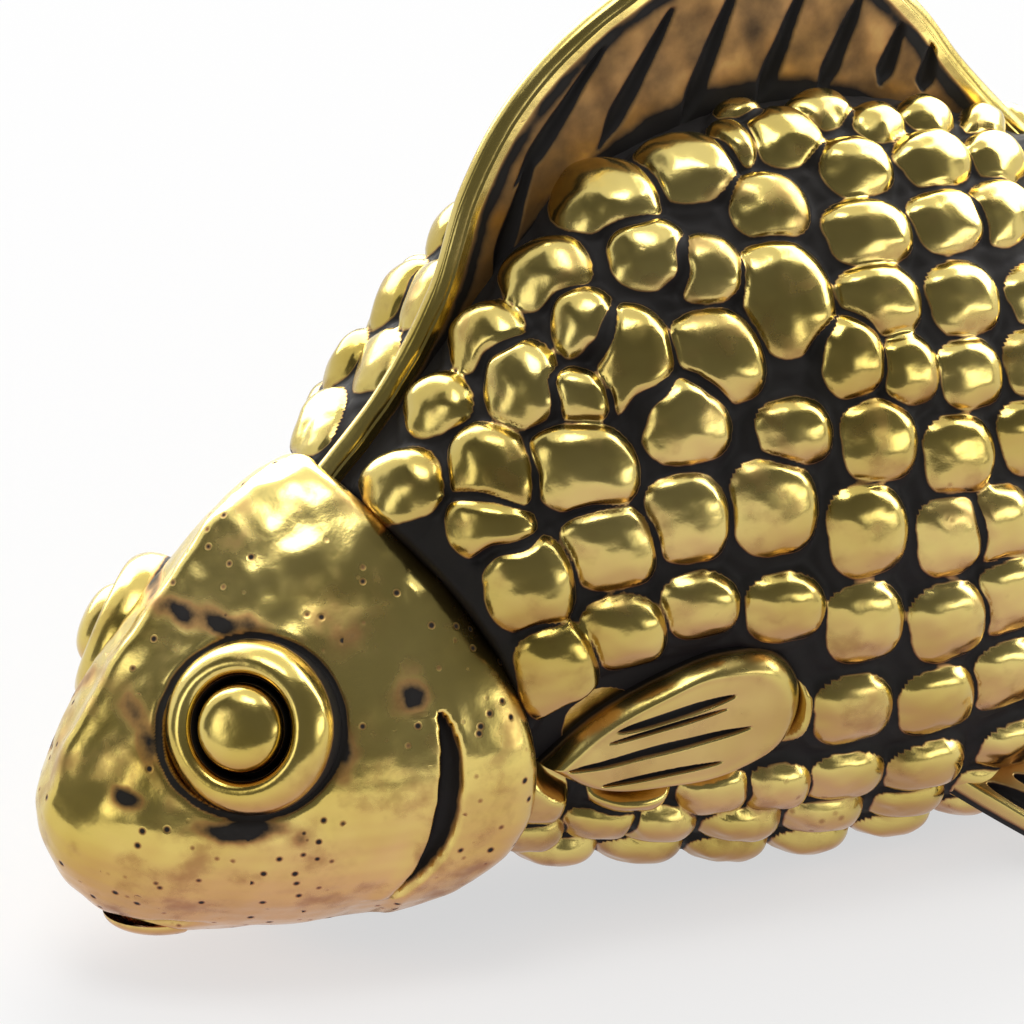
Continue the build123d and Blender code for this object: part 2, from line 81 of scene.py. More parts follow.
def add_mesh(name, points, quads, relief):
    """An object from points in millimetres and quads. Relief is 1 where a point is high and rubbed bare, and 0 in a
    hollow. A second value, under, rises from 0 to 1 as the surface turns to face down, and the brass turns it into a
    painted reflection of a warm floor."""
    mesh = bpy.data.meshes.new(name)
    placed = (points.reshape(-1, 3) + np.array([SNOUT_X, 0, 0])) * MM
    mesh.vertices.add(len(placed))
    mesh.vertices.foreach_set("co", placed.astype(np.float32).ravel())
    mesh.loops.add(quads.size)
    mesh.loops.foreach_set("vertex_index", quads.astype(np.int32).ravel())
    mesh.polygons.add(len(quads))
    mesh.polygons.foreach_set("loop_start", np.arange(0, quads.size, 4, dtype=np.int32))
    mesh.update(calc_edges=True)
    mesh.shade_smooth()
    normals = np.zeros(placed.size, np.float32)
    mesh.vertices.foreach_get("normal", normals)
    for field, values in (("relief", relief), ("under", smooth_step(-normals[2::3], *FACING_DOWN))):
        layer = mesh.attributes.new(field, "FLOAT", "POINT")
        layer.data.foreach_set("value", np.asarray(values, np.float32).ravel())
    thing = bpy.data.objects.new(name, mesh)
    bpy.context.scene.collection.objects.link(thing)
    print(name, len(placed), "points", 2 * len(quads), "triangles")
    return thing


# %% Smooth curves and steps
def curve_at(place, places, values):
    """Smooth values between stations: a cubic through each pair, its slopes taken from the neighbours."""
    places = np.asarray(places, float)
    values = np.asarray(values, float)
    slopes = np.gradient(values, places)
    number = np.clip(np.searchsorted(places, place, side="right") - 1, 0, len(places) - 2)
    width = places[number + 1] - places[number]
    share = np.clip((place - places[number]) / width, 0, 1)
    rest = 1 - share
    ends = rest**2 * (1 + 2 * share) * values[number] + share**2 * (1 + 2 * rest) * values[number + 1]
    bends = rest**2 * share * slopes[number] - share**2 * rest * slopes[number + 1]
    return ends + bends * width


def smooth_step(value, low, high):
    """0 below low, 1 above high, and an S-shaped rise between."""
    share = np.clip((value - low) / (high - low), 0, 1)
    return share * share * (3 - 2 * share)


print("half way up a smooth step", smooth_step(0.5, 0, 1))

# %% [markdown]
# The body is one smooth form: at every place along it there is a ridge height, a belly height and half a width,
# and a rounded section between them. A loft through drawn sections would do too, but a formula gives any point
# straight away, which the scales need. The shoulders behind the head are squarer, so the section's power is larger.

# %% The body's smooth form
# Heights of the ridge and the belly and half the width, all in mm, at each place along the body.
BODY_PLACES = (8.6, 10.5, 12.7, 14.6, 16.5, 19.5, 23.5, 28.0, 33.0, 38.0, 43.0, 47.0, 50.0, 52.0, 53.2)
RIDGE = (14.4, 16.1, 18.3, 20.5, 22.7, 25.4, 26.9, 27.1, 26.0, 23.4, 19.8, 16.9, 15.2, 14.1, 13.2)
BELLY = (4.4, 3.6, 3.0, 2.6, 2.2, 1.6, 0.85, 0.55, 0.65, 1.7, 3.9, 6.3, 8.0, 9.2, 10.2)
HALF_WIDTH = (4.6, 5.4, 6.2, 6.8, 7.2, 7.9, 8.4, 8.6, 8.2, 7.2, 5.6, 4.2, 3.2, 2.1, 1.1)

# The head's rear edge runs over the flank. This is its X at each height Z.
SEAM_Z = (1.5, 1.8, 2.5, 3.7, 5.6, 8.0, 10.4, 13.0, 15.5, 17.4, 18.6)
SEAM_X = (9.0, 10.0, 12.3, 13.7, 14.6, 14.6, 14.2, 13.1, 11.5, 9.9, 9.2)


# The power of the upper section falls from the nape to the middle of the body, where the section is an ellipse.
SHOULDER_PLACES, SHOULDER_POWERS = (8.6, 21.0), (2.7, 2.0)


def flank(place, angle):
    """A point of the left flank: sideways the cosine of the angle and upward its sine, each to 2 over the power."""
    ridge = curve_at(place, BODY_PLACES, RIDGE)
    belly = curve_at(place, BODY_PLACES, BELLY)
    half_width = curve_at(place, BODY_PLACES, HALF_WIDTH)
    power = np.where(angle > 0, np.interp(place, SHOULDER_PLACES, SHOULDER_POWERS), 2.0)
    out = np.abs(np.cos(angle)) ** (2 / power) * half_width
    rise = np.abs(np.sin(angle)) ** (2 / power) * (ridge - belly) / 2
    return np.stack([place + 0 * out, -out, (ridge + belly) / 2 + np.sign(angle) * rise], -1)


print("flank at the middle", flank(np.array(28.0), np.array(0.0)).round(2))

# %% [markdown]
# Each scale is a puffy tile, a rounded dome that is pushed up at the rear and sinks at the front under the scale
# ahead of it. The rows on the photographed flank are laid out one by one, so each scale has its own place, angle and
# size. Separate tiles on the body would hide many faces, so the flank is one surface that keeps the highest dome at
# each point, with dark channels between them.

# %% The places of the scales
# Place along the body in mm, angle round it in degrees, half length and half height in mm.
SEEN_SCALES = (
    (17.2, -63, 1.75, 1.17), (20.3, -64, 1.86, 1.17), (23.6, -65, 1.86, 1.17), (26.8, -66, 1.86, 1.17),
    (30, -66, 1.86, 1.17), (33.1, -66, 1.75, 1.17), (15.6, -52, 1.64, 1.41), (18, -49.5, 1.75, 1.33),
    (20.2, -51.8, 1.75, 1.28), (23.3, -53, 1.81, 1.33), (26.5, -53.8, 1.81, 1.33), (29.8, -54.5, 1.75, 1.33),
    (15.4, -38, 1.28, 1.86), (18.6, -40, 1.75, 1.52), (21.8, -43.2, 1.69, 1.52), (24, -43.2, 1.69, 1.52),
    (26.6, -43.2, 1.86, 1.58), (29.8, -44.2, 1.86, 1.58), (33.4, -45, 1.75, 1.58), (17.2, -23, 1.75, 1.75),
    (20.1, -24, 1.75, 1.75), (23.2, -26, 1.75, 1.75), (26.2, -27.5, 1.81, 1.86), (29.5, -29, 1.86, 1.86),
    (32.2, -26.3, 1.75, 1.86), (15.4, -6, 1.75, 2.37), (17.6, -3.5, 1.81, 1.68), (20.2, -3.5, 1.68, 1.5),
    (23.2, -7, 1.81, 1.64), (26.2, -11.8, 1.81, 1.93), (29.5, -14.3, 1.86, 1.98), (31.8, -11.2, 1.75, 1.98),
    (14.5, 14.3, 1.88, 2.12), (17.2, 11.2, 1.99, 1.93), (19.8, 10.8, 1.81, 1.99), (22.8, 9.2, 1.93, 2.16),
    (26.2, 2.8, 1.81, 2.05), (29.4, 0, 1.69, 1.86), (31.4, 0.2, 1.69, 1.86), (13.6, 33.2, 1.88, 1.43),
    (16.6, 28.8, 2.25, 1.88), (20, 26.8, 1.99, 1.99), (23.8, 19.8, 1.64, 1.52), (26.8, 16, 1.75, 1.86),
    (29.8, 12.2, 1.75, 1.75), (32.9, 14, 1.75, 1.75), (14, 45.8, 1.88, 1.93), (17, 42.2, 1.38, 1.25),
    (18.7, 40.8, 1.81, 2.37), (21.5, 34.5, 1.98, 2.05), (26.2, 29.2, 1.52, 1.81), (28.2, 26, 1.46, 1.52),
    (30.6, 24.2, 1.58, 1.58), (33.3, 25.5, 1.52, 1.58), (15.6, 55.5, 1.68, 1.99), (17.8, 54.2, 1.43, 1.63),
    (21.9, 50, 1.58, 1.52), (24.3, 40, 1.98, 2.46), (27.6, 37.2, 1.86, 1.58), (30.8, 36.2, 1.75, 1.58),
    (34, 36.5, 1.64, 1.58), (11.8, 64.2, 1.93, 1.68), (13.6, 74.2, 1.68, 1.5), (15.4, 74.5, 1.81, 1.63),
    (17.4, 72.2, 1.99, 1.68), (20.3, 57.7, 1.75, 1.68), (24.6, 57.5, 1.75, 1.52), (27.8, 48.8, 1.98, 1.46),
    (31, 50, 1.86, 1.46), (33.4, 52.2, 1.75, 1.46), (19.8, 77, 2.37, 1.88), (22.6, 71.5, 2.05, 1.75),
    (26.2, 71, 1.75, 1.58), (28.2, 61.8, 1.69, 1.41), (31.4, 62.5, 1.81, 1.41), (34.1, 65.2, 1.64, 1.33),
    (25.4, 80, 1.05, 1.05), (28.2, 77.2, 1.41, 1.17), (30, 72.5, 1.33, 1.11), (32.2, 75.2, 1.33, 1.17),
    (34.6, 76.8, 1.41, 1.05), (24.5, 72.5, 0.931, 1.46), (33, -55, 1.75, 1.28),
)
# Behind them, each row has an angle and the place of its first scale.
REAR_ROWS = (-68, -58, -46, -30, -14, 0, 13, 25, 37, 51, 64, 77)
REAR_STARTS = (36.1, 36.1, 36.4, 35.2, 34.8, 34.4, 35.9, 36.1, 36.9, 36.4, 37.0, 37.2)
REAR_END = 51.6
# The scales shrink by these shares at these places, and so does the step from one to the next.
REAR_PLACES, REAR_SHARES = (36, 47, 52), (1, 0.72, 0.56)
REAR_STEP, REAR_HALF_LENGTH = 2.95, 1.8
# Rows below this angle count as 15 degrees apart, and the steeper ones as 11.5. Half a scale is 0.60 of that gap.
LEVEL_ANGLE, LEVEL_GAP, STEEP_GAP = 40, 15, 11.5
HALF_GAP_SHARE, LEAST_HALF_HEIGHT = 0.60, 0.55


def rear_scales():
    """Regular rows behind the photographed part, each scale a little nearer to the next as the body narrows."""
    found = []
    for angle, place in zip(REAR_ROWS, REAR_STARTS):
        gap = LEVEL_GAP if abs(angle) < LEVEL_ANGLE else STEEP_GAP
        while place < REAR_END:
            narrow = float(np.interp(place, REAR_PLACES, REAR_SHARES))
            section = flank(np.array([place, place]), np.radians([angle - gap / 2, angle + gap / 2]))
            half_height = HALF_GAP_SHARE * float(np.linalg.norm(section[1] - section[0]))
            found.append((place, angle, REAR_HALF_LENGTH * narrow, max(half_height, LEAST_HALF_HEIGHT)))
            place += REAR_STEP * narrow
    return found


SCALES = list(SEEN_SCALES) + rear_scales()
print("scales on each flank", len(SCALES))

# %% [markdown]
# Each scale is a shell that lies on the next one behind it. Its rear and upper edge is round and crisp, and its
# front and lower side runs out softly into the dark. The height is worked out in the plane that touches the flank
# at the scale's middle, so a scale keeps its true size even on the steep shoulder.

# %% Where a scale points
FIN_FRONT_TILT = 38


def scale_frame(place, angle, tilt):
    """Middle of a scale, its rearward axis turned up by the tilt, and its upward axis. Three near points of the flank
    give the plane that touches it."""
    corner = flank(np.array([place, place + 0.2, place]), np.radians([angle, angle, angle + 1.0]))
    normal = np.cross(corner[1] - corner[0], corner[2] - corner[0])
    normal *= -np.sign(normal[1]) / np.linalg.norm(normal)
    rear = np.cross((0, 0, 1.0), normal)
    rear /= np.linalg.norm(rear)
    top = np.cross(normal, rear)
    top *= np.sign(top[2])
    turn = np.radians(tilt)
    return corner[0], np.cos(turn) * rear + np.sin(turn) * top, np.cos(turn) * top - np.sin(turn) * rear


def scale_tilt(place, angle):
    """Scales beside the fin's front lean up along the shoulder; the others lie level."""
    return FIN_FRONT_TILT * smooth_step(angle, 48, 66) * smooth_step(21.5 - place, 0, 5)


print("tilt at the nape", scale_tilt(14, 70), "and on the flank", scale_tilt(25, 0))

# %% The relief of the scales
# Height of a full scale, and the mean half size from which a scale is full, in mm.
CREST, FULL_SCALE = 1.2, 1.35
# The crisp side looks up and to the rear. An outline power of 2 would be an ellipse.
CRISP_SIDE, OUTLINE_POWER = np.radians(52), 2.15
RIM_FALL, RIM_ROUND = 3.0, 0.6
RUN_FALL, RUN_ROUND = 1.6, 1.05
# Share of the height at a scale's middle, and what it gains towards the rear and the top.
LEVEL, REAR_RISE, TOP_RISE = 0.76, 0.17, 0.14


def soften(field, passes):
    """Each value becomes 0.4 of itself and 0.15 of each of its four neighbours, as often as there are passes."""
    for _ in range(passes):
        padded = np.pad(field, 1, mode="edge")
        ring = padded[:-2, 1:-1] + padded[2:, 1:-1] + padded[1:-1, :-2] + padded[1:-1, 2:]
        field = 0.4 * field + 0.15 * ring
    return field


def scale_relief(places, angles):
    """Height of the highest dome, its lead over the second highest, how bare it is, and how crisp its side is.

    The reach is 0 at a scale's middle and 1 on its outline. A dome is 1 less the reach to a power, all to a second
    power: a steep pair of powers on the crisp side, up and to the rear, and a gentle pair where it runs out."""
    smooth = flank(places, angles)
    first, second, bare, kind = (np.zeros(places.shape) for _ in range(4))
    draw = np.random.default_rng(5)
    for place, angle, half_length, half_height in SCALES:
        lift, swell, twist = draw.uniform(0.9, 1.08), draw.uniform(-0.08, 0.08), draw.uniform(-6, 6)
        middle, rear, top = scale_frame(place, angle, scale_tilt(place, angle) + twist)
        longest = max(half_length, half_height)
        rows = np.where(np.abs(places[:, 0] - place) < 1.7 * longest)[0]
        span = slice(rows[0], rows[-1] + 1)
        offset = smooth[span] - middle
        far = np.linalg.norm(offset, axis=-1) > 1.8 * longest
        along, up = offset @ rear / half_length, offset @ top / half_height
        reach = (np.abs(along) ** OUTLINE_POWER + np.abs(up) ** OUTLINE_POWER) ** (1 / OUTLINE_POWER)
        crisp = smooth_step(np.cos(np.arctan2(up, along) - CRISP_SIDE), -0.55, 0.35)
        inside = np.clip(1 - reach**RIM_FALL, 0, 1) ** RIM_ROUND
        run_out = np.clip(1 - reach**RUN_FALL, 0, 1) ** RUN_ROUND
        dome = crisp * inside + (1 - crisp) * run_out
        slope = LEVEL + REAR_RISE * along + (TOP_RISE + swell) * up
        size = min(1.0, (half_length * half_height) ** 0.5 / FULL_SCALE)
        height = np.where(far, 0, CREST * size * lift * dome * np.clip(slope, 0.3, 1.2))
        rubbed = np.clip((1.04 - reach) / (0.15 + 0.36 * (1 - crisp)), 0, 1)
        bare[span] = np.where(height > first[span], rubbed, bare[span])
        kind[span] = np.where(height > first[span], crisp, kind[span])
        second[span] = np.maximum(second[span], np.minimum(first[span], height))
        first[span] = np.maximum(first[span], height)
    return soften(first, 3), soften(first - second, 3), soften(bare, 4), soften(kind, 2)


print("a full scale is", CREST, "mm high")

# %% [markdown]
# A casting is never quite even. A bumpy material could show that, but its outline would stay smooth, so low sine
# waves dent the true shape of every surface here. The side fin lies close on the flank, so the scales are pressed
# flat under it. The flank also dives under the head's rear edge, and its rear end closes onto the middle plane.

# %% Dents, and the side fin's seat
WAVES, WAVE_LENGTHS, WAVE_SUM = 7, (0.6, 1.7), 4
SMALLEST = 1e-9


def grid_normals(points):
    """Unit cross product of the two grid directions at every point."""
    normal = np.cross(np.gradient(points, axis=0), np.gradient(points, axis=1))
    return normal / np.maximum(np.linalg.norm(normal, axis=-1, keepdims=True), SMALLEST)


def ripple(points, seed, wavelength):
    """A soft uneven field between about -1 and 1: sine waves in random directions, 0.6 to 1.7 wavelengths long."""
    draw = np.random.default_rng(seed)
    total = np.zeros(points.shape[:-1])
    for _ in range(WAVES):
        way = draw.normal(size=3)
        way /= np.linalg.norm(way)
        length, start = wavelength * draw.uniform(*WAVE_LENGTHS), draw.uniform(0, 6.3)
        total += np.sin(points @ way * 2 * np.pi / length + start)
    return total / WAVE_SUM


def dents(points, *layers):
    """The sum of ripples, each with its own height in mm, seed and wavelength."""
    return sum(height * ripple(points, seed, wavelength) for height, seed, wavelength in layers)


def turn_about(axis, angle):
    """Rotation matrix about X, Y or Z by an angle in degrees."""
    c, s = np.cos(np.radians(angle)), np.sin(np.radians(angle))
    first, second = [(1, 2), (2, 0), (0, 1)][axis]
    matrix = np.eye(3)
    matrix[first, first] = matrix[second, second] = c
    matrix[first, second], matrix[second, first] = -s, s
    return matrix


PECTORAL_FRAME = ((19.6, -6.75, 8.5), turn_about(2, -8) @ turn_about(0, 105) @ turn_about(2, 4))
SEAT_MIDDLE, SEAT_HALF_SIZES, SEAT_POWER, SEAT_LIFT = (0.2, 0.1), (4.9, 2.75), 2.4, 0.15


def clear_seat(points):
    """Presses the flank down to the side fin's seat plane inside an oval a little larger than the fin."""
    place, matrix = PECTORAL_FRAME
    own = (points - np.array(place)) @ matrix
    away = np.abs((own[..., :2] - SEAT_MIDDLE) / SEAT_HALF_SIZES) ** SEAT_POWER
    reach = (away[..., 0] + away[..., 1]) ** (1 / SEAT_POWER)
    sink = np.clip(own[..., 2] - SEAT_LIFT, 0, 3) * smooth_step(1.06 - reach, 0, 0.14)
    return points - sink[..., None] * matrix[:, 2]


def towards_middle(line, shares):
    """Copies of a line of points, each with its distance from the middle plane times one share."""
    return line * np.array([(1, share, 1) for share in shares])[:, None]


print("sideways share of the seat's normal", round(-PECTORAL_FRAME[1][1, 2], 2))

# %% The scaled flanks
# Depths and runs in mm, and the share by which the far shoulder's scales are lower.
SCALES_END = 53.0
CHANNEL_DEPTH, DIVE_DEPTH, DIVE_LEAD, DIVE_RUN = 0.35, 1.7, 0.2, 0.7
SHOULDER_SINK = 0.45
LOWEST = 0.02
END_SHARES = (0.66, 0.33, 0.0)


def flank_grid(side, place_line, angle_line):
    """Points and rubbed share of one flank, whose side is -1 on the left. Each point leaves the smooth form along its
    normal by the relief, less a channel where two domes meet, and dives where it is ahead of the head's edge."""
    places, angles = np.meshgrid(place_line, np.radians(angle_line), indexing="ij")
    relief, lead, bare, kind = scale_relief(places, angles)
    channel = (1 - smooth_step(lead, 0.0, 0.5)) * smooth_step(relief, 0.15, 0.4) * (1 - 0.5 * kind)
    smooth = flank(places, angles)
    outward = grid_normals(smooth)
    outward *= -np.sign(outward[:, outward.shape[1] // 2, 1])[:, None, None]
    if side > 0:
        relief = relief * (1 - SHOULDER_SINK * smooth_step(angles, 0.9, 1.2) * (1 - smooth_step(places, 22, 26)))
    relief = (relief - CHANNEL_DEPTH * channel) * smooth_step(SCALES_END - places, 0.2, 3.0)
    uneven = dents(smooth, (0.030, 3, 1.9), (0.016, 4, 0.8))
    ahead = smooth_step(curve_at(smooth[..., 2], SEAM_Z, SEAM_X) + DIVE_LEAD - places, 0, DIVE_RUN)
    points = smooth + outward * ((relief + uneven) * (1 - ahead) - DIVE_DEPTH * ahead)[..., None]
    points = clear_seat(points)
    points[..., 1] = np.minimum(points[..., 1], 0)
    points[..., 2] = np.maximum(points[..., 2], LOWEST)
    points = points * np.array([1, -side, 1])
    dark = (1 - kind) * (1 - smooth_step(lead, 0.12, 0.50)) + kind * (1 - smooth_step(lead, 0.12, 0.34))
    rubbed = np.clip(bare - dark, 0, 1) * (1 - ahead) * smooth_step(SCALES_END - places, 0.2, 1.2)
    rubbed = np.concatenate([rubbed, rubbed[[-1] * len(END_SHARES)]])
    return np.concatenate([points, towards_middle(points[-1], END_SHARES)]), rubbed


def add_flank(name, side, place_line, angle_line):
    """One flank as an object. The mirror image of the right one turns its faces round by itself."""
    points, rubbed = flank_grid(side, place_line, angle_line)
    return add_mesh(name, points, grid_quads(*points.shape[:2])[:, ::side], rubbed)


flank_places = np.r_[np.linspace(8.8, 36.4, 268), np.linspace(36.6, 53.2, 76)]
flank_angles = np.linspace(-90, 90, 288)
left_flank = add_flank("scaled_flank_left", -1, flank_places, flank_angles)
right_flank = add_flank("scaled_flank_right", 1, flank_places, flank_angles)

# %% [markdown]
# The head is a smooth cap. Each level slice is half an ellipse, so its width and the place of the snout on every
# level describe it, and it needs no sculpting. The slice stops at the gill edge, where the metal rolls inward over
# the body. The slit, the mouth, the eye's seat and the dents are heights that are added along the normal.

# %% The head's smooth form
# Height of each slice, X of its snout and half its width, in mm.
SLICE_Z = (1.7, 2.2, 3.0, 4.3, 5.9, 8.0, 10.5, 12.8, 14.5, 15.7, 16.5, 17.05, 17.4)
SLICE_SNOUT = (3.7, 2.5, 1.45, 0.5, 0.0, 0.75, 2.25, 4.1, 5.45, 6.4, 7.2, 8.1, 9.2)
SLICE_HALF = (2.9, 4.0, 5.15, 6.35, 7.1, 7.5, 7.0, 5.8, 4.65, 3.65, 2.85, 2.15, 1.5)
HEAD_REAR = 14.7
# The gill edge stays this far ahead of the body's seam and rolls back this far, less at the nape than below it.
NAPE_Z, NAPE_AHEAD, NAPE_ROLL = (14.5, 16.5), (1.1, 0.5), (1.3, 0.62)
EYE_FORWARD, EYE_UP = np.radians(49), np.radians(20)
EYE_AXIS = np.array([-np.sin(EYE_FORWARD) * np.cos(EYE_UP), -np.cos(EYE_FORWARD) * np.cos(EYE_UP), np.sin(EYE_UP)])
EYE_FLOOR = np.array([5.4, -4.4, 10.2]) - 1.3 * EYE_AXIS


def head_grid(levels, columns):
    """Rows run up the head, columns from the left gill edge round the snout to the right one."""
    run = np.r_[0, np.cumsum(np.hypot(np.diff(SLICE_Z), np.diff(SLICE_SNOUT)))]
    steps = np.linspace(0, run[-1], levels)
    height, snout, half = (curve_at(steps, run, values) for values in (SLICE_Z, SLICE_SNOUT, SLICE_HALF))
    seam = curve_at(height, SEAM_Z, SEAM_X) - np.interp(height, NAPE_Z, NAPE_AHEAD)
    limit = np.arccos(np.clip((HEAD_REAR - seam) / (HEAD_REAR - snout), -1, 1))
    turn = np.linspace(-1, 1, columns)[None, :] * limit[:, None]
    x = HEAD_REAR - (HEAD_REAR - snout)[:, None] * np.cos(turn)
    y = half[:, None] * np.sin(turn)
    return np.stack([x, y, height[:, None] + 0 * x], -1)


print("the eye looks along", EYE_AXIS.round(2))

# %% Slit, mouth, bridge and stains
SLIT_Z, SLIT_X = (3.4, 5.5, 7.6, 9.5, 11.4), (10.3, 11.2, 11.42, 11.5, 11.15)
SLIT_HALF_WIDTH, SLIT_MIDDLE_Z, SLIT_HALF_HEIGHT, SLIT_WALL_POWER = 0.47, 6.9, 3.55, 4
MOUTH_Z, MOUTH_RISE, MOUTH_HALF_HEIGHT, MOUTH_HALF_WIDTH = 2.32, 0.10, 0.15, 2.9
HALO_RADIUS, HALO_HALF_WIDTH, SOCKET_RADIUS = 3.03, 0.14, 2.95
SLIT_DEPTH, MOUTH_DEPTH, HALO_DEPTH, SOCKET_DEPTH = 0.55, 0.42, 0.16, 1.25
COVER_HEIGHT, LIP_HEIGHT, BRIDGE_HEIGHT = 0.16, 0.10, 0.30
# Stains on each side of the head: place in X and Z, half length and half height in mm, and strength.
HEAD_STAINS = (
    (7.7, 10.0, 0.9, 1.9, 0.66), (4.7, 6.95, 1.9, 0.55, 0.74), (1.6, 7.8, 0.5, 0.5, 0.70),
    (5.3, 13.2, 1.6, 0.5, 0.62), (10.4, 11.0, 1.1, 0.8, 0.55), (2.5, 9.6, 0.45, 1.6, 0.55),
    (8.8, 13.4, 1.9, 1.7, 0.40), (6.6, 6.6, 1.6, 1.0, 0.40),
)


def bell(value, middle, half_width):
    """1 at the middle, falling to 0 on both sides: e to the minus square of the distance in half widths."""
    return np.exp(-(((value - middle) / half_width) ** 2))


def eye_distance(points):
    """Distance from the axis of the nearer eye."""
    near = points * np.array([1, -1, 1]) ** (points[..., 1:2] > 0)
    offset = near - EYE_FLOOR
    along = offset @ EYE_AXIS
    return np.linalg.norm(offset - along[..., None] * EYE_AXIS, axis=-1)


def head_details(points):
    """Height to add along the normal, and how deep in a hollow each point lies."""
    x, y, z = points[..., 0], np.abs(points[..., 1]), points[..., 2]
    slit_x = curve_at(z, SLIT_Z, SLIT_X)
    slit_share = np.clip(1 - ((z - SLIT_MIDDLE_Z) / SLIT_HALF_HEIGHT) ** 2, 0, 1)
    slit_half = SLIT_HALF_WIDTH * np.sqrt(slit_share) + 1e-6
    slit = np.clip(1 - (np.abs(x - slit_x) / slit_half) ** SLIT_WALL_POWER, 0, 1) * (x > 8.5)
    cover = smooth_step(x, 0, 1) * COVER_HEIGHT * smooth_step(x - slit_x, -0.1, 0.5) * smooth_step(y, 2.5, 4.5)
    front_lip = LIP_HEIGHT * bell(x - slit_x, -0.55, 0.35) * (slit_half > 0.05)
    mouth = bell(z, MOUTH_Z + MOUTH_RISE * y, MOUTH_HALF_HEIGHT) * smooth_step(MOUTH_HALF_WIDTH - y, 0, 0.8) * (x < 6)
    reach = eye_distance(points)
    halo = bell(reach, HALO_RADIUS, HALO_HALF_WIDTH)
    socket = smooth_step(SOCKET_RADIUS - reach, 0, 0.35)
    bridge = BRIDGE_HEIGHT * bell(y, 0, 0.6) * smooth_step(z, 5.5, 9.0) * smooth_step(16.8 - z, 0, 2)
    height = cover + front_lip + bridge + dents(points, (0.07, 11, 4.2), (0.035, 12, 1.7), (0.012, 14, 0.7))
    height -= SLIT_DEPTH * slit + MOUTH_DEPTH * mouth + HALO_DEPTH * halo + SOCKET_DEPTH * socket
    stain = 0.10 + 0.16 * ripple(points, 15, 5.0)
    for at_x, at_z, half_x, half_z, strength in HEAD_STAINS:
        near = bell(x, at_x, half_x) * bell(z, at_z, half_z)
        stain = np.maximum(stain, strength * near * (1 + 0.3 * ripple(points, 16, 1.4)))
    return height, np.maximum.reduce([slit, 0.9 * mouth, 0.95 * halo, socket, stain])


print("stains on each side of the head", len(HEAD_STAINS))

# %% The head
ROLL_STEPS = np.radians(np.linspace(8, 90, 12))
ROLL_IN_SHARE, ROLL_TAIL = 0.7, 0.9
CLOSING_SHARES = np.linspace(0, 1, 6)[:-1]
CHIN_HOLLOW_SHARE = 0.2


def rolled_edge(edge, beside, normal, back_reach):
    """Strips that leave the gill edge rearward by the sine of the roll and inward by 1 less its cosine."""
    rearward = np.cross(normal, np.gradient(edge, axis=0))
    rearward *= np.sign((rearward * (edge - beside)).sum(-1, keepdims=True))
    rearward /= np.linalg.norm(rearward, axis=-1, keepdims=True)
    in_reach = ROLL_IN_SHARE * back_reach
    strips = [edge + back_reach * np.sin(a) * rearward - in_reach * (1 - np.cos(a)) * normal for a in ROLL_STEPS]
    return np.stack(strips + [strips[-1] - ROLL_TAIL * normal], 1)


def add_head():
    """The cap, its rolled gill edges, and flat fillings for the chin and the top."""
    levels, columns = ((196, 400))
    base = head_grid(levels, columns)
    outward = grid_normals(base)
    outward *= np.sign((outward * (base - np.array([9.0, 0, 8.0]))).sum(-1))[..., None]
    height, hollow = head_details(base)
    points = base + outward * height[..., None]
    back_reach = np.interp(base[:, 0, 2], NAPE_Z, NAPE_ROLL)[:, None]
    left = rolled_edge(points[:, 0], points[:, 1], outward[:, 0], back_reach)
    right = rolled_edge(points[:, -1], points[:, -2], outward[:, -1], back_reach)
    points = np.concatenate([left[:, ::-1], points, right], 1)
    deep = np.tile(np.r_[smooth_step(ROLL_STEPS, 0.9, 1.5), 1.0], (levels, 1))
    hollow = np.concatenate([deep[:, ::-1], hollow, deep], 1)
    below = towards_middle(points[0], CLOSING_SHARES)
    above = towards_middle(points[-1], CLOSING_SHARES[::-1])
    points = np.concatenate([below, points, above])
    rows = len(CLOSING_SHARES)
    chin, top = np.repeat(hollow[:1] * CHIN_HOLLOW_SHARE, rows, 0), np.repeat(hollow[-1:], rows, 0)
    hollow = np.concatenate([chin, hollow, top])
    return add_mesh("smooth_head", points, grid_quads(*points.shape[:2])[:, ::-1], 1 - hollow)


head_cap = add_head()

# %% [markdown]
# The eyes are turned shapes. A ring is a rounded profile spun round the eye's axis, which leans forward and up, and
# the pupil inside it is a dome that stands a little prouder. A torus and a sphere would look machined, while a free
# profile gives the cast ring's flat top and soft edges. The lower lip is a quarter of an ellipsoid.

# %% Eyes and lip
TURNS = 96


def path_points(points, count):
    """Points at even steps along a smooth path through the given points."""
    points = np.asarray(points, float)
    run = np.r_[0, np.cumsum(np.linalg.norm(np.diff(points, axis=0), axis=1))]
    share = np.linspace(0, run[-1], count)
    return np.stack([curve_at(share, run, points[:, axis]) for axis in range(points.shape[1])], -1)


def spin(profile, seed):
    """Points of a profile of radius and height spun round Z, slightly uneven, and its quads."""
    angle = np.linspace(0, 2 * np.pi, TURNS, endpoint=False)
    radius, height = np.repeat(profile[:, :1], TURNS, 1), np.repeat(profile[:, 1:], TURNS, 1)
    points = np.stack([radius * np.cos(angle), radius * np.sin(angle), height], -1)
    points = points * (1 + 0.006 * ripple(points, seed, 3.0))[..., None]
    return points, grid_quads(len(profile), TURNS, wrap=True)


def on_eye(points, side):
    """Moves points from the ring's own axis onto the eye of one side."""
    rear = np.cross(EYE_AXIS, (0, 0, 1.0))
    rear /= np.linalg.norm(rear)
    top = np.cross(rear, EYE_AXIS)
    placed = EYE_FLOOR + points[..., :1] * rear + points[..., 1:2] * top + points[..., 2:] * EYE_AXIS
    return placed * np.array([1, -side, 1])


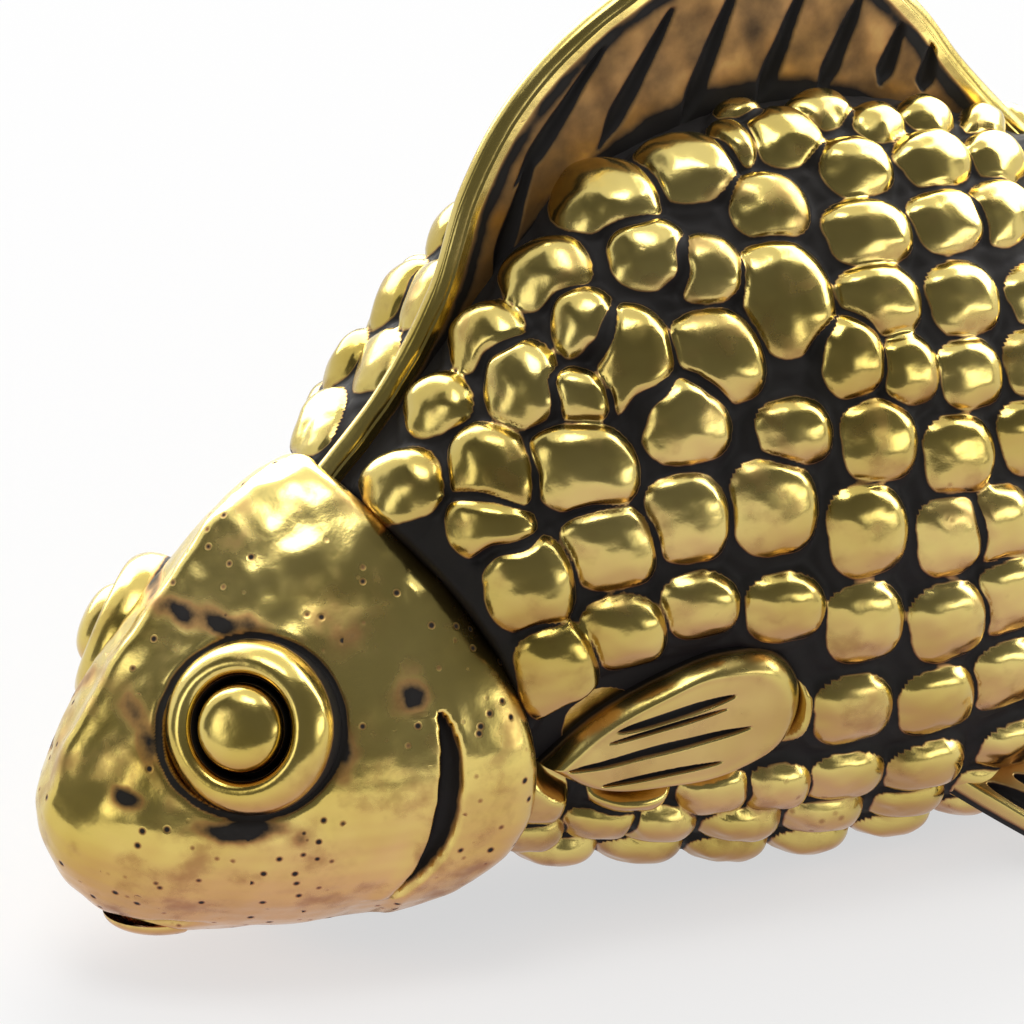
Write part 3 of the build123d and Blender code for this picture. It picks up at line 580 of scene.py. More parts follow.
# Radius and height of each point, from the outer foot over the top to the inside.
RING_PROFILE = (
    (2.93, 0.0), (2.95, 1.0), (2.93, 1.45), (2.82, 1.82), (2.62, 2.1), (2.38, 2.28), (2.12, 2.34), (1.92, 2.26),
    (1.78, 2.06), (1.72, 1.5), (1.72, 0.2),
)
PUPIL_PROFILE = (
    (1.46, 0.1), (1.5, 1.6), (1.52, 2.0), (1.47, 2.3), (1.31, 2.58), (1.05, 2.8), (0.72, 2.93), (0.35, 2.99),
    (0.0, 3.0),
)
RING_ROWS, PUPIL_ROWS = 60, 44


def ring_relief(low, around):
    """Bare above the ring's foot and outside its bore, from the height and the squared distance from the axis."""
    return smooth_step(low, 0.7, 1.9) * smooth_step(around, 1.73**2, 1.88**2)


def pupil_relief(low, around):
    """Bare from the shoulder of the dome upward."""
    return smooth_step(low, 1.75, 2.45)


eyes = []
for side, word in ((-1, "left"), (1, "right")):
    for kind, profile, rows, relief_of in (
        ("eye_ring_", RING_PROFILE, RING_ROWS, ring_relief),
        ("eye_pupil_", PUPIL_PROFILE, PUPIL_ROWS, pupil_relief),
    ):
        profile = path_points(profile, rows)
        points, quads = spin(profile, 20 + rows)
        relief = relief_of(np.repeat(profile[:, 1:], TURNS, 1), points[..., 0] ** 2 + points[..., 1] ** 2)
        piece = add_mesh(kind + word + "_cast", on_eye(points, side), quads[:, ::side], relief)
        eyes.append((piece, kind + word))

# %% The lower lip
LIP_X, LIP_Z, LIP_FORWARD, LIP_HALF_WIDTH, LIP_DROP = 4.4, 2.2, 2.15, 1.80, 0.76
LIP_COUNTS = (60, 24)
turn, drop = np.meshgrid(
    np.linspace(-np.pi / 2, np.pi / 2, LIP_COUNTS[0]), np.linspace(0, np.pi / 2, LIP_COUNTS[1]), indexing="ij"
)
lip_points = np.stack([
    LIP_X - LIP_FORWARD * np.cos(turn) * np.cos(drop),
    LIP_HALF_WIDTH * np.sin(turn) * np.cos(drop),
    LIP_Z - LIP_DROP * np.sin(drop),
], -1)
lip_relief = 0.75 + 0.25 * smooth_step(drop, 0.1, 0.7)
lower_lip = add_mesh("lower_lip_cast", lip_points, grid_quads(*LIP_COUNTS)[:, ::-1], lip_relief)

# %% [markdown]
# The three upright fins are thin webs inside a round rim, cast with the fish. A web with a tube along its edge
# would show a seam, so each side of a fin is one sheet of varying thickness. Its grid runs from a hidden foot curve
# out to the outline. It is thick at the rim and dips in grooves that are wide at their foot and pointed at their tip.

# %% Rims and grooves of the upright fins
# Thicknesses in mm, and how much each form adds to the relief value or takes from it.
RIM_SHARE, WEB_EXTRA, GROOVE_DIP, THINNEST = 0.78, 0.04, 0.26, 0.02
WEB_RELIEF, RIM_RELIEF, GROIN_RELIEF, GROOVE_RELIEF = 0.46, 0.54, 0.20, 0.9


def groove_place(along, up, start, end):
    """How far a point lies on the way from start to end, as a share, and how far to its side."""
    start = np.asarray(start, float)
    run = np.asarray(end, float) - start
    length = np.hypot(*run)
    share = ((along - start[0]) * run[0] + (up - start[1]) * run[1]) / length**2
    return share, ((along - start[0]) * run[1] - (up - start[1]) * run[0]) / length


def wedge_depth(along, up, start, end, half_width):
    """1 in the middle of a groove that is wide at its start and pointed at its end."""
    share, side = groove_place(along, up, start, end)
    width = half_width * np.clip(1 - share, 0, 1) ** 0.55 * smooth_step(share, -0.5, -0.1) + 1e-6
    return np.clip(1 - (side / width) ** 2, 0, 1) * (share > -0.5)


def distance_from(edge, flat):
    """Distance of each point from the nearest point of the edge, taken in short runs of the edge to save memory."""
    reach = np.full(flat.shape[:2], np.inf)
    for start in range(0, len(edge), 40):
        gap = np.linalg.norm(flat[:, :, None] - edge[start : start + 41], axis=-1)
        reach = np.minimum(reach, gap.min(-1))
    return reach


print("a groove takes", GROOVE_DIP, "mm off each side of a fin")

# %% Upright fins
def upright_fin(name, outline, foot, rim, web, grooves, counts, foot_share, faces=-1):
    """Two mirrored sheets between a foot curve and the outline, joined over the rim. Half the thickness is the height
    of a circle along the edge, or the web where that is more, less the grooves."""
    columns, rows = counts
    edge, root = path_points(outline, columns), path_points(foot, columns)
    run = np.gradient(edge, axis=0)
    beyond = np.stack([run[:, 1], -run[:, 0]], -1) / np.linalg.norm(run, axis=1, keepdims=True)
    beyond *= np.sign((beyond * (edge - root)).sum())
    edge = edge + rim * beyond
    rim = RIM_SHARE * rim
    share = 1 - (1 - np.linspace(0, 1, rows)) ** 1.25
    flat = root[:, None] + (edge - root)[:, None] * share[None, :, None]
    reach = distance_from(edge, flat)
    round_rim = rim * np.sqrt(np.clip(1 - (np.clip(reach - rim, -rim, rim) / rim) ** 2, 0, 1))
    half = np.maximum(round_rim, (web + WEB_EXTRA) * smooth_step(reach, 0.1, 1.2 * rim))
    dip = np.zeros_like(half)
    for start, end, width in grooves:
        dip = np.maximum(dip, wedge_depth(flat[..., 0], flat[..., 1], start, end, width))
    dip = soften(dip, 2)
    middle = np.stack([flat[..., 0], 0 * half, flat[..., 1]], -1)
    half = half - GROOVE_DIP * dip + dents(middle, (0.03, 31, 2.4)) * smooth_step(reach, 0, 0.4)
    half = np.where(reach < SMALLEST, 0, np.maximum(half, THINNEST))
    near, far = (middle + half[..., None] * np.array([0, way, 0]) for way in (-1, 1))
    both = np.concatenate([near, far[:, ::-1][:, 1:]], 1)
    high = RIM_RELIEF * smooth_step(2.1 * rim - reach, 0, 0.6 * rim)
    groin = GROIN_RELIEF * bell(reach, 2.6 * rim, 0.6 * rim)
    low = WEB_RELIEF * smooth_step(1 - share, foot_share - 0.04, foot_share + 0.10)[None, :]
    uneven = dents(middle, (0.05, 32, 1.6))
    relief = np.clip(WEB_RELIEF + high - groin - GROOVE_RELIEF * dip - low + uneven, 0, 1)
    relief = np.concatenate([relief, relief[:, ::-1][:, 1:]], 1)
    return add_mesh(name, both, grid_quads(*both.shape[:2])[:, ::faces], relief)


def pairs(places, heights):
    """Points from a row of places and a row of heights."""
    return np.stack([places, heights], -1)


def groove_list(foot_x, foot_z, tip_x, tip_z, width):
    """Start, end and half width of each groove."""
    return [((a, b), (c, d), width) for a, b, c, d in zip(foot_x, foot_z, tip_x, tip_z)]


# %% The back fin
fin_counts = ((420, 110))
BACK_OUTLINE = pairs(
    (10.35, 12.9, 15.0, 16.2, 17.5, 19.6, 22.0, 26.0, 29.8, 32.9, 34.4, 35.8, 37.6),
    (16.3, 19.0, 22.4, 25.8, 28.0, 30.1, 31.6, 32.9, 31.9, 29.0, 26.9, 25.2, 23.2),
)
BACK_FOOT = pairs(
    (11.6, 14.0, 16.2, 18.2, 19.6, 21.2, 23.0, 26.0, 28.8, 31.2, 33.0, 34.4, 36.6),
    (15.9, 18.0, 20.4, 22.6, 24.0, 24.9, 25.6, 26.0, 25.7, 24.9, 24.0, 23.4, 22.4),
)
back_grooves = groove_list(
    (17.2, 18.6, 21.6, 24.5, 27.3, 29.6, 31.7, 33.2),
    (24.0, 27.3, 28.1, 28.4, 28.4, 28.1, 27.6, 26.9),
    (18.3, 20.9, 23.5, 26.0, 28.6, 30.7, 32.3, 33.5),
    (27.0, 30.3, 31.2, 31.7, 31.2, 30.3, 29.0, 28.0),
    0.36,
)
# The numbers are the rim's radius and half the web in mm, and where the dark foot begins on the way in.
back_fin = upright_fin("grooved_back_fin", BACK_OUTLINE, BACK_FOOT, 0.5, 0.4, back_grooves, fin_counts, 0.72)

# %% The tail and the rear fin
TAIL_OUTLINE = pairs(
    (47.6, 50.4, 53.6, 57.2, 60.0, 61.3, 60.9, 59.6, 58.7, 58.5,
     58.8, 60.0, 60.9, 60.5, 58.6, 55.4, 52.6, 50.0, 47.6),
    (13.6, 15.1, 18.6, 22.0, 23.5, 22.3, 19.4, 16.2, 13.2, 11.6, 9.8, 6.6, 3.4, 1.7, 1.2, 2.9, 5.8, 8.4, 9.6),
)
TAIL_MIDDLE, TAIL_FOOT_SHARE, TAIL_FOOT_MOVE = np.array([50.6, 11.6]), 0.03, np.array([-2.4, 0])
TAIL_FOOT = TAIL_MIDDLE + (TAIL_OUTLINE - TAIL_MIDDLE) * TAIL_FOOT_SHARE + TAIL_FOOT_MOVE
tail_grooves = groove_list(
    (53.6, 53.9, 54.0, 53.9, 53.6),
    (14.9, 13.2, 11.6, 10.0, 8.4),
    (58.9, 58.4, 57.4, 58.2, 58.4),
    (20.9, 16.4, 11.6, 7.2, 3.4),
    0.5,
)
tail = upright_fin("grooved_tail", TAIL_OUTLINE, TAIL_FOOT, 0.55, 0.45, tail_grooves, fin_counts, 0.85)
REAR_OUTLINE = pairs((38.6, 40.4, 42.6, 44.9, 46.2, 46.3, 46.2), (2.9, 1.6, 0.75, 0.75, 1.9, 4.2, 7.3))
REAR_FOOT = pairs((39.8, 40.8, 42.0, 43.2, 44.2, 44.8, 45.2), (3.8, 4.4, 5.0, 5.6, 6.2, 6.8, 7.6))
rear_grooves = groove_list((41.8, 43.6), (2.5, 3.4), (42.9, 44.9), (1.4, 1.7), 0.36)
rear_fin = upright_fin(
    "grooved_rear_fin", REAR_OUTLINE, REAR_FOOT, 0.4, 0.36, rear_grooves, (160, 50), 0.8, faces=1
)

# %% [markdown]
# The side and belly fins are flat leaves. Each lies on its own plane, and its grid is polar: rings from the middle of
# the leaf out to its outline and down round its edge. A grid of rows would leave corners on such a round outline. The
# ribs stay bright, and the grooves between them are dark.

# %% Side fins
LEAF_EDGE_POWER, LEAF_GROOVE_DEPTH = 9, 0.30
LEAF_RIM_PLACE, LEAF_RIM_HALF_WIDTH, LEAF_RIM_HEIGHT = 0.88, 0.08, 0.12
UNDER_SHARES = np.array([1.0, 0.66, 0.33, 0.0])
UNDER_RELIEF = 0.3


def needle_depth(along, up, start, end, half_width):
    """1 in the middle of a leaf-shaped groove from start to end, falling to 0 at its edges."""
    share, side = groove_place(along, up, start, end)
    width = half_width * np.sqrt(np.clip(1 - (2 * share - 1) ** 2, 0, 1)) + 1e-6
    return np.clip(1 - (side / width) ** 2, 0, 1) * ((share > 0) & (share < 1))


def leaf(name, side, outline, middle, height, grooves, bare, frame_at, seed, floor):
    """A leaf: its height times the root of 1 less the reach to the edge power, with a rim and grooves on it. A leaf
    with a floor is cut off there. Its plane is seen from the other side, so its faces turn the other way."""
    columns, rows = ((320, 120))
    ring = path_points(np.vstack([outline, outline[:1]]), columns + 1)[:-1]
    reach = np.sin(np.linspace(0, np.pi / 2, rows)) ** 0.9
    flat = middle + (ring - middle)[:, None] * reach[None, :, None]
    bevel = np.clip(1 - reach**LEAF_EDGE_POWER, 0, 1) ** 0.5
    level = height * bevel[None, :] * np.ones((columns, 1))
    dip = np.zeros_like(level)
    for start, end, width in grooves:
        dip = np.maximum(dip, needle_depth(flat[..., 0], flat[..., 1], start, end, width))
    rim = bell(reach, LEAF_RIM_PLACE, LEAF_RIM_HALF_WIDTH)[None, :]
    up = level - LEAF_GROOVE_DEPTH * dip + LEAF_RIM_HEIGHT * rim * bevel
    own = np.stack([flat[..., 0], flat[..., 1], up], -1)
    own[..., 2] += dents(own, (0.03, seed, 2.0)) * bevel
    under = middle + (ring - middle)[:, None] * UNDER_SHARES[None, :, None]
    own = np.concatenate([own, np.concatenate([under, 0 * under[..., :1]], -1)], 1)
    place, matrix = frame_at
    points = own @ matrix.T + np.array(place)
    if floor is not None:
        points[..., 2] = np.maximum(points[..., 2], floor)
    points = points * np.array([1, -side, 1])
    relief = np.clip(bare + 0.5 * rim - 1.1 * dip, 0, 1) * (0.25 + 0.75 * smooth_step(bevel, 0.15, 0.6))[None, :]
    relief = np.concatenate([relief, np.full((columns, len(UNDER_SHARES)), UNDER_RELIEF)], 1)
    quads = grid_quads(rows + len(UNDER_SHARES), columns, wrap=True)
    if (side > 0) != (floor is not None):
        quads = quads[:, ::-1]
    return add_mesh(name, points.transpose(1, 0, 2), quads, relief.T)


print("a leaf's grooves are", LEAF_GROOVE_DEPTH, "mm deep")

# %% The leaves' outlines and grooves
PECTORAL_RING = pairs(
    (-4.4, -2.6, -0.2, 2.0, 3.9, 4.9, 4.5, 2.7, 0.2, -2.8),
    (-0.55, 0.95, 2.1, 2.65, 2.25, 0.5, -1.3, -2.3, -2.4, -1.8),
)
PECTORAL_GROOVES = [
    ((-1.9, 0.75), (2.3, 1.35), 0.26),
    ((-3.6, -0.55), (2.9, -0.15), 0.24),
    ((-2.4, -1.45), (1.9, -1.4), 0.17),
    ((-2.2, 0.35), (2.0, 0.85), 0.13),
]
PELVIC_RING = pairs(
    (-0.6, 1.4, 4.2, 6.9, 8.1, 7.9, 6.6, 4.2, 1.6, -0.4),
    (-0.75, -1.05, -1.35, -1.45, -0.7, 0.9, 2.5, 2.6, 1.6, 0.8),
)
PELVIC_FRAME = ((32.6, -4.6, 2.9), turn_about(2, -42) @ turn_about(1, 19) @ turn_about(0, 38))
PELVIC_GROOVES = groove_list((0.9, 1.6, 2.2), (-0.35, 0.3, 0.95), (6.9, 7.0, 6.2), (-0.65, 0.55, 1.65), 0.36)
# Names of piece and node, outline, middle, height, grooves, bare level, place, seed of its dents, and floor.
LEAVES = (
    ("ribbed_side_fin_", "pectoral_fin_",
     PECTORAL_RING, (0.0, 0.1), 1.22, PECTORAL_GROOVES, 0.85, PECTORAL_FRAME, 41, None),
    ("ribbed_belly_fin_", "pelvic_fin_",
     PELVIC_RING, (3.6, 0.3), 0.95, PELVIC_GROOVES, 0.6, PELVIC_FRAME, 42, 0.0),
)
side_fins = []
for side, word in ((-1, "left"), (1, "right")):
    for name, node, *shape in LEAVES:
        side_fins.append((leaf(name + word, side, *shape), node + word))

# %% [markdown]
# The brass is a real metal colour with a clear gloss, and the patina is a dark, dull skin that stays where the
# cloth can't reach. It could be painted on each piece by hand. Instead one shared node group turns the relief value
# on the points into a mask. Noise roughens the mask's border and adds specks and pits, so the dark parts have the
# uneven edge that rubbing leaves. The first cell holds short ways to write the nodes that are used again and again.

# %% Nodes in one line each
def feed(tree, socket, value):
    """Links a socket to an output, or sets its value."""
    if isinstance(value, bpy.types.NodeSocket):
        tree.links.new(value, socket)
    else:
        socket.default_value = value


def maths(tree, kind, *values):
    """A Math node of numbers and outputs."""
    made = tree.nodes.new("ShaderNodeMath")
    made.operation = kind
    for socket, value in zip(made.inputs, values):
        feed(tree, socket, value)
    return made.outputs["Value"]


def map_range(tree, value, from_low, from_high, to_low, to_high, kind="LINEAR"):
    """A Map Range node, straight unless its kind is SMOOTHSTEP."""
    made = tree.nodes.new("ShaderNodeMapRange")
    made.interpolation_type = kind
    given = {"Value": value, "From Min": from_low, "From Max": from_high, "To Min": to_low, "To Max": to_high}
    for name, each in given.items():
        feed(tree, made.inputs[name], each)
    return made.outputs["Result"]


def textured(tree, kind, output, **inputs):
    """An output of a texture on the piece's own coordinates. Its scale is in waves to the metre."""
    made = tree.nodes.new(kind)
    tree.links.new(tree.nodes.new("ShaderNodeTexCoord").outputs["Object"], made.inputs["Vector"])
    for name, value in inputs.items():
        made.inputs[name].default_value = value
    return made.outputs[output]


def noise(tree, scale, detail):
    """The value of a Noise node."""
    return textured(tree, "ShaderNodeTexNoise", "Fac", Scale=scale, Detail=detail)


def point_value(tree, name):
    """A value that add_mesh left on the points."""
    made = tree.nodes.new("ShaderNodeAttribute")
    made.attribute_name = name
    return made.outputs["Fac"]


# %% The rubbed-edge mask as a node group
PIT_CELLS, PIT_EDGE, PIT_CHANCE = 1500, (0.05, 0.27), (0.72, 0.2)
CLOUD_EDGE = (0.50, 0.74)


def make_mask_group():
    """Patina is 1 below the bare level less the softness and 0 above the bare level, after noise shifts the relief.
    Pits are small dark cells on the high parts, where a broad noise lets them be."""
    group = bpy.data.node_groups.new("Rubbed edge", "ShaderNodeTree")
    for name in ("Relief", "Bare level", "Softness", "Unevenness", "Pits"):
        group.interface.new_socket(name, in_out="INPUT", socket_type="NodeSocketFloat")
    for name in ("Patina", "Pit"):
        group.interface.new_socket(name, in_out="OUTPUT", socket_type="NodeSocketFloat")
    given, result = group.nodes.new("NodeGroupInput").outputs, group.nodes.new("NodeGroupOutput").inputs

    broad = maths(group, "MULTIPLY", noise(group, 420, 4), 0.6)
    fine = maths(group, "MULTIPLY", noise(group, 1900, 3), 0.4)
    spread = maths(group, "SUBTRACT", maths(group, "ADD", broad, fine), 0.5)
    level = maths(group, "ADD", given["Relief"], maths(group, "MULTIPLY", spread, given["Unevenness"]))
    dark_level = maths(group, "SUBTRACT", given["Bare level"], given["Softness"])
    hollow = map_range(group, level, dark_level, given["Bare level"], 1, 0, "SMOOTHSTEP")

    cells = textured(group, "ShaderNodeTexVoronoi", "Distance", Scale=PIT_CELLS)
    chance = maths(group, "SUBTRACT", PIT_CHANCE[0], maths(group, "MULTIPLY", given["Pits"], PIT_CHANCE[1]))
    few = maths(group, "GREATER_THAN", noise(group, 260, 2), chance)
    near = map_range(group, cells, *PIT_EDGE, 1, 0, "SMOOTHSTEP")
    pit = maths(group, "MULTIPLY", maths(group, "MULTIPLY", near, few), given["Pits"])

    cloud = map_range(group, noise(group, 640, 5), *CLOUD_EDGE, 0, 1, "SMOOTHSTEP")
    mottle = maths(group, "MULTIPLY", maths(group, "MULTIPLY", cloud, given["Unevenness"]), 0.5)
    worn = maths(group, "MAXIMUM", maths(group, "MULTIPLY", pit, 0.9), mottle)
    group.links.new(maths(group, "MAXIMUM", hollow, worn), result["Patina"])
    group.links.new(pit, result["Pit"])
    return group


mask_group = make_mask_group()
print("nodes in the mask group", len(mask_group.nodes))

# %% [markdown]
# The metal itself is one Principled shader. Its colour goes from bright yellow brass through a brown film to the
# black patina, its metallic value falls where the patina is thick, and a bump adds the fine skin of the casting.
# Where the brass faces down, it is tinted redder: a painted reflection of a warm floor.

# %% Brass
DULL_TONE, BRIGHT_TONE = np.array([0.59, 0.44, 0.10]), np.array([0.84, 0.67, 0.22])
FILM, BLACK_PATINA = (0.58, 0.43, 0.50), (0.018, 0.019, 0.055)
# The colour of the painted floor reflection, multiplied into the brass where it faces down.
PAINTED_FLOOR_REFLECTION = (0.80, 0.55, 0.80, 1)
PATINA_METALLIC, PATINA_ROUGHNESS, POLISH_SPREAD = 0.1, 0.6, 0.10
LUMP_SHARE, PIT_SHARE = 2.2, -0.9
BUMP_STRENGTH, BUMP_DISTANCE = 0.30, 0.00006


def colour_ramp(tree, value, first, last, *between):
    """A Color Ramp, each of whose stops is a place and a colour."""
    made = tree.nodes.new("ShaderNodeValToRGB")
    tree.links.new(value, made.inputs["Fac"])
    stops = made.color_ramp.elements
    for stop, (place, colour) in zip((stops[0], stops[1]), (first, last)):
        stop.position, stop.color = place, (*colour, 1)
    for place, colour in between:
        stops.new(place).color = (*colour, 1)
    return made.outputs["Color"]


def multiplied(tree, share, first, second):
    """Two colours multiplied, by the given share. A Mix node's colour sockets are its inputs 6 and 7."""
    made = tree.nodes.new("ShaderNodeMix")
    made.data_type, made.blend_type = "RGBA", "MULTIPLY"
    for slot, value in ((0, share), (6, first), (7, second)):
        feed(tree, made.inputs[slot], value)
    return made.outputs[2]


def make_brass(name, bare_level, softness, unevenness, pits, gloss, painted_light_level):
    """Colour, metallic and roughness all follow the patina mask; a low noise varies the polish over the surface. The
    painted light level scales the brass colour, which paints lighter or darker copies of the same metal.
    """
    material = bpy.data.materials.new(name)
    material.use_nodes = True
    tree = material.node_tree
    shader = tree.nodes["Principled BSDF"].inputs
    mask = tree.nodes.new("ShaderNodeGroup")
    mask.node_tree = mask_group
    given = {"Bare level": bare_level, "Softness": softness, "Unevenness": unevenness, "Pits": pits}
    for slot, value in {"Relief": point_value(tree, "relief"), **given}.items():
        feed(tree, mask.inputs[slot], value)
    patina = mask.outputs["Patina"]

    polish = noise(tree, 150, 3)
    # Painted light and shade: both brass tones are scaled by the piece's painted light level.
    tone = colour_ramp(tree, polish, (0.30, DULL_TONE * painted_light_level), (0.62, BRIGHT_TONE * painted_light_level))
    film = colour_ramp(tree, patina, (0.0, (1, 1, 1)), (0.85, BLACK_PATINA), (0.45, FILM))
    # Painted reflection: the brass is tinted redder where it faces down, as if it mirrored a warm floor.
    painted_floor_reflection = multiplied(tree, point_value(tree, "under"), tone, PAINTED_FLOOR_REFLECTION)
    tree.links.new(multiplied(tree, 1, painted_floor_reflection, film), shader["Base Color"])
    shader["Specular IOR Level"].default_value = 0.25
    tree.links.new(map_range(tree, patina, 0.45, 0.95, 1, PATINA_METALLIC), shader["Metallic"])
    rough = map_range(tree, patina, 0, 0.8, gloss, PATINA_ROUGHNESS)
    tree.links.new(maths(tree, "MULTIPLY_ADD", polish, POLISH_SPREAD, rough), shader["Roughness"])

    skin = maths(tree, "MULTIPLY_ADD", noise(tree, 520, 1), LUMP_SHARE, noise(tree, 1500, 4))
    bump = tree.nodes.new("ShaderNodeBump")
    bump.inputs["Strength"].default_value = BUMP_STRENGTH
    bump.inputs["Distance"].default_value = BUMP_DISTANCE
    tree.links.new(maths(tree, "MULTIPLY_ADD", mask.outputs["Pit"], PIT_SHARE, skin), bump.inputs["Height"])
    tree.links.new(bump.outputs["Normal"], shader["Normal"])
    return material


# Bare level, softness, unevenness, pits, gloss and painted light level, which paints a piece's brass lighter or
# darker.
scaled_brass = make_brass("scaled_brass", 0.62, 0.40, 0.60, 0.4, 0.14, 0.84)
head_brass = make_brass("head_brass", 0.86, 0.62, 0.70, 1.1, 0.15, 1.06)
eye_brass = make_brass("eye_brass", 0.58, 0.40, 0.45, 0.3, 0.14, 1.0)
fin_brass = make_brass("fin_brass", 0.84, 0.70, 0.30, 0.5, 0.18, 0.82)
print("materials", [m.name for m in (scaled_brass, head_brass, eye_brass, fin_brass)])

# %% [markdown]
# Every surface made above rides on the rigid root body and takes the place of the CAD solid under it, so that the
# two never show at once. Each gets the material of its slot.

# %% Surfaces in the place of the solids
dressed = [
    (left_flank, "body_left_shell", "scaled_brass", scaled_brass),
    (right_flank, "body_right_shell", "scaled_brass", scaled_brass),
    (head_cap, "head", "head_brass", head_brass),
    (lower_lip, "lower_lip", "head_brass", head_brass),
    (back_fin, "dorsal_fin", "fin_brass", fin_brass),
    (tail, "tail_fin", "fin_brass", fin_brass),
    (rear_fin, "anal_fin", "fin_brass", fin_brass),
]
dressed += [(piece, node, "eye_brass", eye_brass) for piece, node in eyes]
dressed += [(piece, node, "fin_brass", fin_brass) for piece, node in side_fins]
for piece, node, slot, material in dressed:
    piece.data.materials.append(material)
    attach(piece, "root")
    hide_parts(node)
print("dressed", len(dressed), "pieces")

# %% [markdown]
# The photograph has a bare white ground. The floor and the world are white for the rays that are seen, directly or
# in the metal, and dimmer as a light. Two soft lamps light the fish, one overhead and one at the back on the right.
# Polished brass shows its surroundings more than its lamps, so a photographer stands boards round it. Two oval
# walls do that here, and only reflections see them: a bright one at the back, and a dark one on the camera's side
# with two brighter patches. Under another light the same metal shows other reflections.

# %% Floor and world
FLOOR_COLOUR = (0.86, 0.86, 0.86, 1)
FLOOR_EDGE, FLOOR_DROP = 6.0, 0.00005
FLOOR_FADE = (0.03, 0.13)


def seen_rays(tree):
    """1 for camera, glossy and transmission rays, and 0 for the rest."""
    path = tree.nodes.new("ShaderNodeLightPath").outputs
    seen = path["Is Camera Ray"]
    for name in ("Is Glossy Ray", "Is Transmission Ray"):
        seen = maths(tree, "MAXIMUM", seen, path[name])
    return seen


def make_world(dimmer):
    """White at strength 1 for the rays that are seen, and a dimmer light for the others."""
    world = bpy.data.worlds.new("studio")
    world.use_nodes = True
    tree = world.node_tree
    background = tree.nodes["Background"].inputs
    background["Color"].default_value = (1, 1, 1, 1)
    tree.links.new(map_range(tree, seen_rays(tree), 0, 1, dimmer, 1), background["Strength"])
    return world


def make_floor(near_share):
    """A pale sheet. Seen rays get part of their white from emission, more with the distance from the object."""
    mesh = bpy.data.meshes.new("floor")
    edge = FLOOR_EDGE
    mesh.from_pydata([(-edge, -edge, 0), (edge, -edge, 0), (edge, edge, 0), (-edge, edge, 0)], [], [(0, 1, 2, 3)])
    floor = bpy.data.objects.new("floor", mesh)
    bpy.context.scene.collection.objects.link(floor)
    floor.location.z = -FLOOR_DROP
    material = bpy.data.materials.new("pale_floor")
    material.use_nodes = True
    tree = material.node_tree
    shader = tree.nodes["Principled BSDF"]
    shader.inputs["Base Color"].default_value = FLOOR_COLOUR
    shader.inputs["Roughness"].default_value = 0.9
    shader.inputs["Specular IOR Level"].default_value = 0
    span = tree.nodes.new("ShaderNodeVectorMath")
    span.operation = "LENGTH"
    tree.links.new(tree.nodes.new("ShaderNodeTexCoord").outputs["Object"], span.inputs[0])
    fade = map_range(tree, span.outputs["Value"], *FLOOR_FADE, near_share, 1, "SMOOTHSTEP")
    mix = tree.nodes.new("ShaderNodeMixShader")
    tree.links.new(maths(tree, "MULTIPLY", fade, seen_rays(tree)), mix.inputs["Fac"])
    tree.links.new(shader.outputs["BSDF"], mix.inputs[1])
    tree.links.new(tree.nodes.new("ShaderNodeEmission").outputs["Emission"], mix.inputs[2])
    tree.links.new(mix.outputs["Shader"], tree.nodes["Material Output"].inputs["Surface"])
    mesh.materials.append(material)
    return floor


bpy.context.scene.world = make_world(0.6)
floor = make_floor(0.62)
floor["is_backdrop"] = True
print("floor", FLOOR_EDGE * 2, "m wide")

# %% Lamps, reflector and flag
MIDDLE = Vector((-0.008, 0, 0.014))


def heading(azimuth, elevation):
    """Unit vector towards a direction: azimuth 0 is the side of -Y, and 90 the tail's side."""
    a, e = np.radians(azimuth), np.radians(elevation)
    return Vector((np.sin(a) * np.cos(e), -np.cos(a) * np.cos(e), np.sin(e)))


def soft_lamp(name, azimuth, elevation, distance, width, height, brightness):
    """A rectangular soft box that faces the object; its watts are brightness times pi times its area."""
    light = bpy.data.lights.new(name, "AREA")
    light.shape, light.size, light.size_y = "RECTANGLE", width, height
    light.energy = brightness * np.pi * width * height
    lamp = bpy.data.objects.new(name, light)
    lamp.location = MIDDLE + heading(azimuth, elevation) * distance
    lamp.rotation_euler = heading(azimuth, elevation).to_track_quat("Z", "Y").to_euler()
    lamp.visible_camera = False
    bpy.context.scene.collection.objects.link(lamp)
    return lamp


WALL_COUNTS = (97, 33)


def reflected_wall(name, azimuths, long_radius, short_radius, heights, brightnesses, patches=()):
    """An oval wall that only reflections see. Its brightness runs evenly from its foot to its top, and each patch
    adds e to the minus sum of the fourth powers of the distances from the patch's middle in half widths."""
    spans = np.radians(np.linspace(*azimuths, WALL_COUNTS[0])), np.linspace(*heights, WALL_COUNTS[1])
    turn, lift = np.meshgrid(*spans, indexing="ij")
    points = np.stack([long_radius * np.sin(turn) + MIDDLE.x, -short_radius * np.cos(turn), lift], -1)
    mesh = bpy.data.meshes.new(name)
    mesh.from_pydata(points.reshape(-1, 3).tolist(), [], grid_quads(*WALL_COUNTS).tolist())
    shine = np.interp(lift, heights, brightnesses)
    for at_azimuth, at_height, half_azimuth, half_height, bright in patches:
        away = (np.degrees(turn) - at_azimuth) / half_azimuth, (lift - at_height) / half_height
        shine += bright * np.exp(-(away[0] ** 4) - away[1] ** 4)
    mesh.attributes.new("shine", "FLOAT", "POINT").data.foreach_set("value", shine.ravel())
    wall = bpy.data.objects.new(name, mesh)
    bpy.context.scene.collection.objects.link(wall)
    material = bpy.data.materials.new(name)
    material.use_nodes = True
    tree = material.node_tree
    glow = tree.nodes.new("ShaderNodeEmission")
    tree.links.new(point_value(tree, "shine"), glow.inputs["Strength"])
    tree.links.new(glow.outputs["Emission"], tree.nodes["Material Output"].inputs["Surface"])
    mesh.materials.append(material)
    wall.visible_camera = wall.visible_diffuse = wall.visible_shadow = wall.visible_transmission = False
    wall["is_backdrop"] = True
    return wall


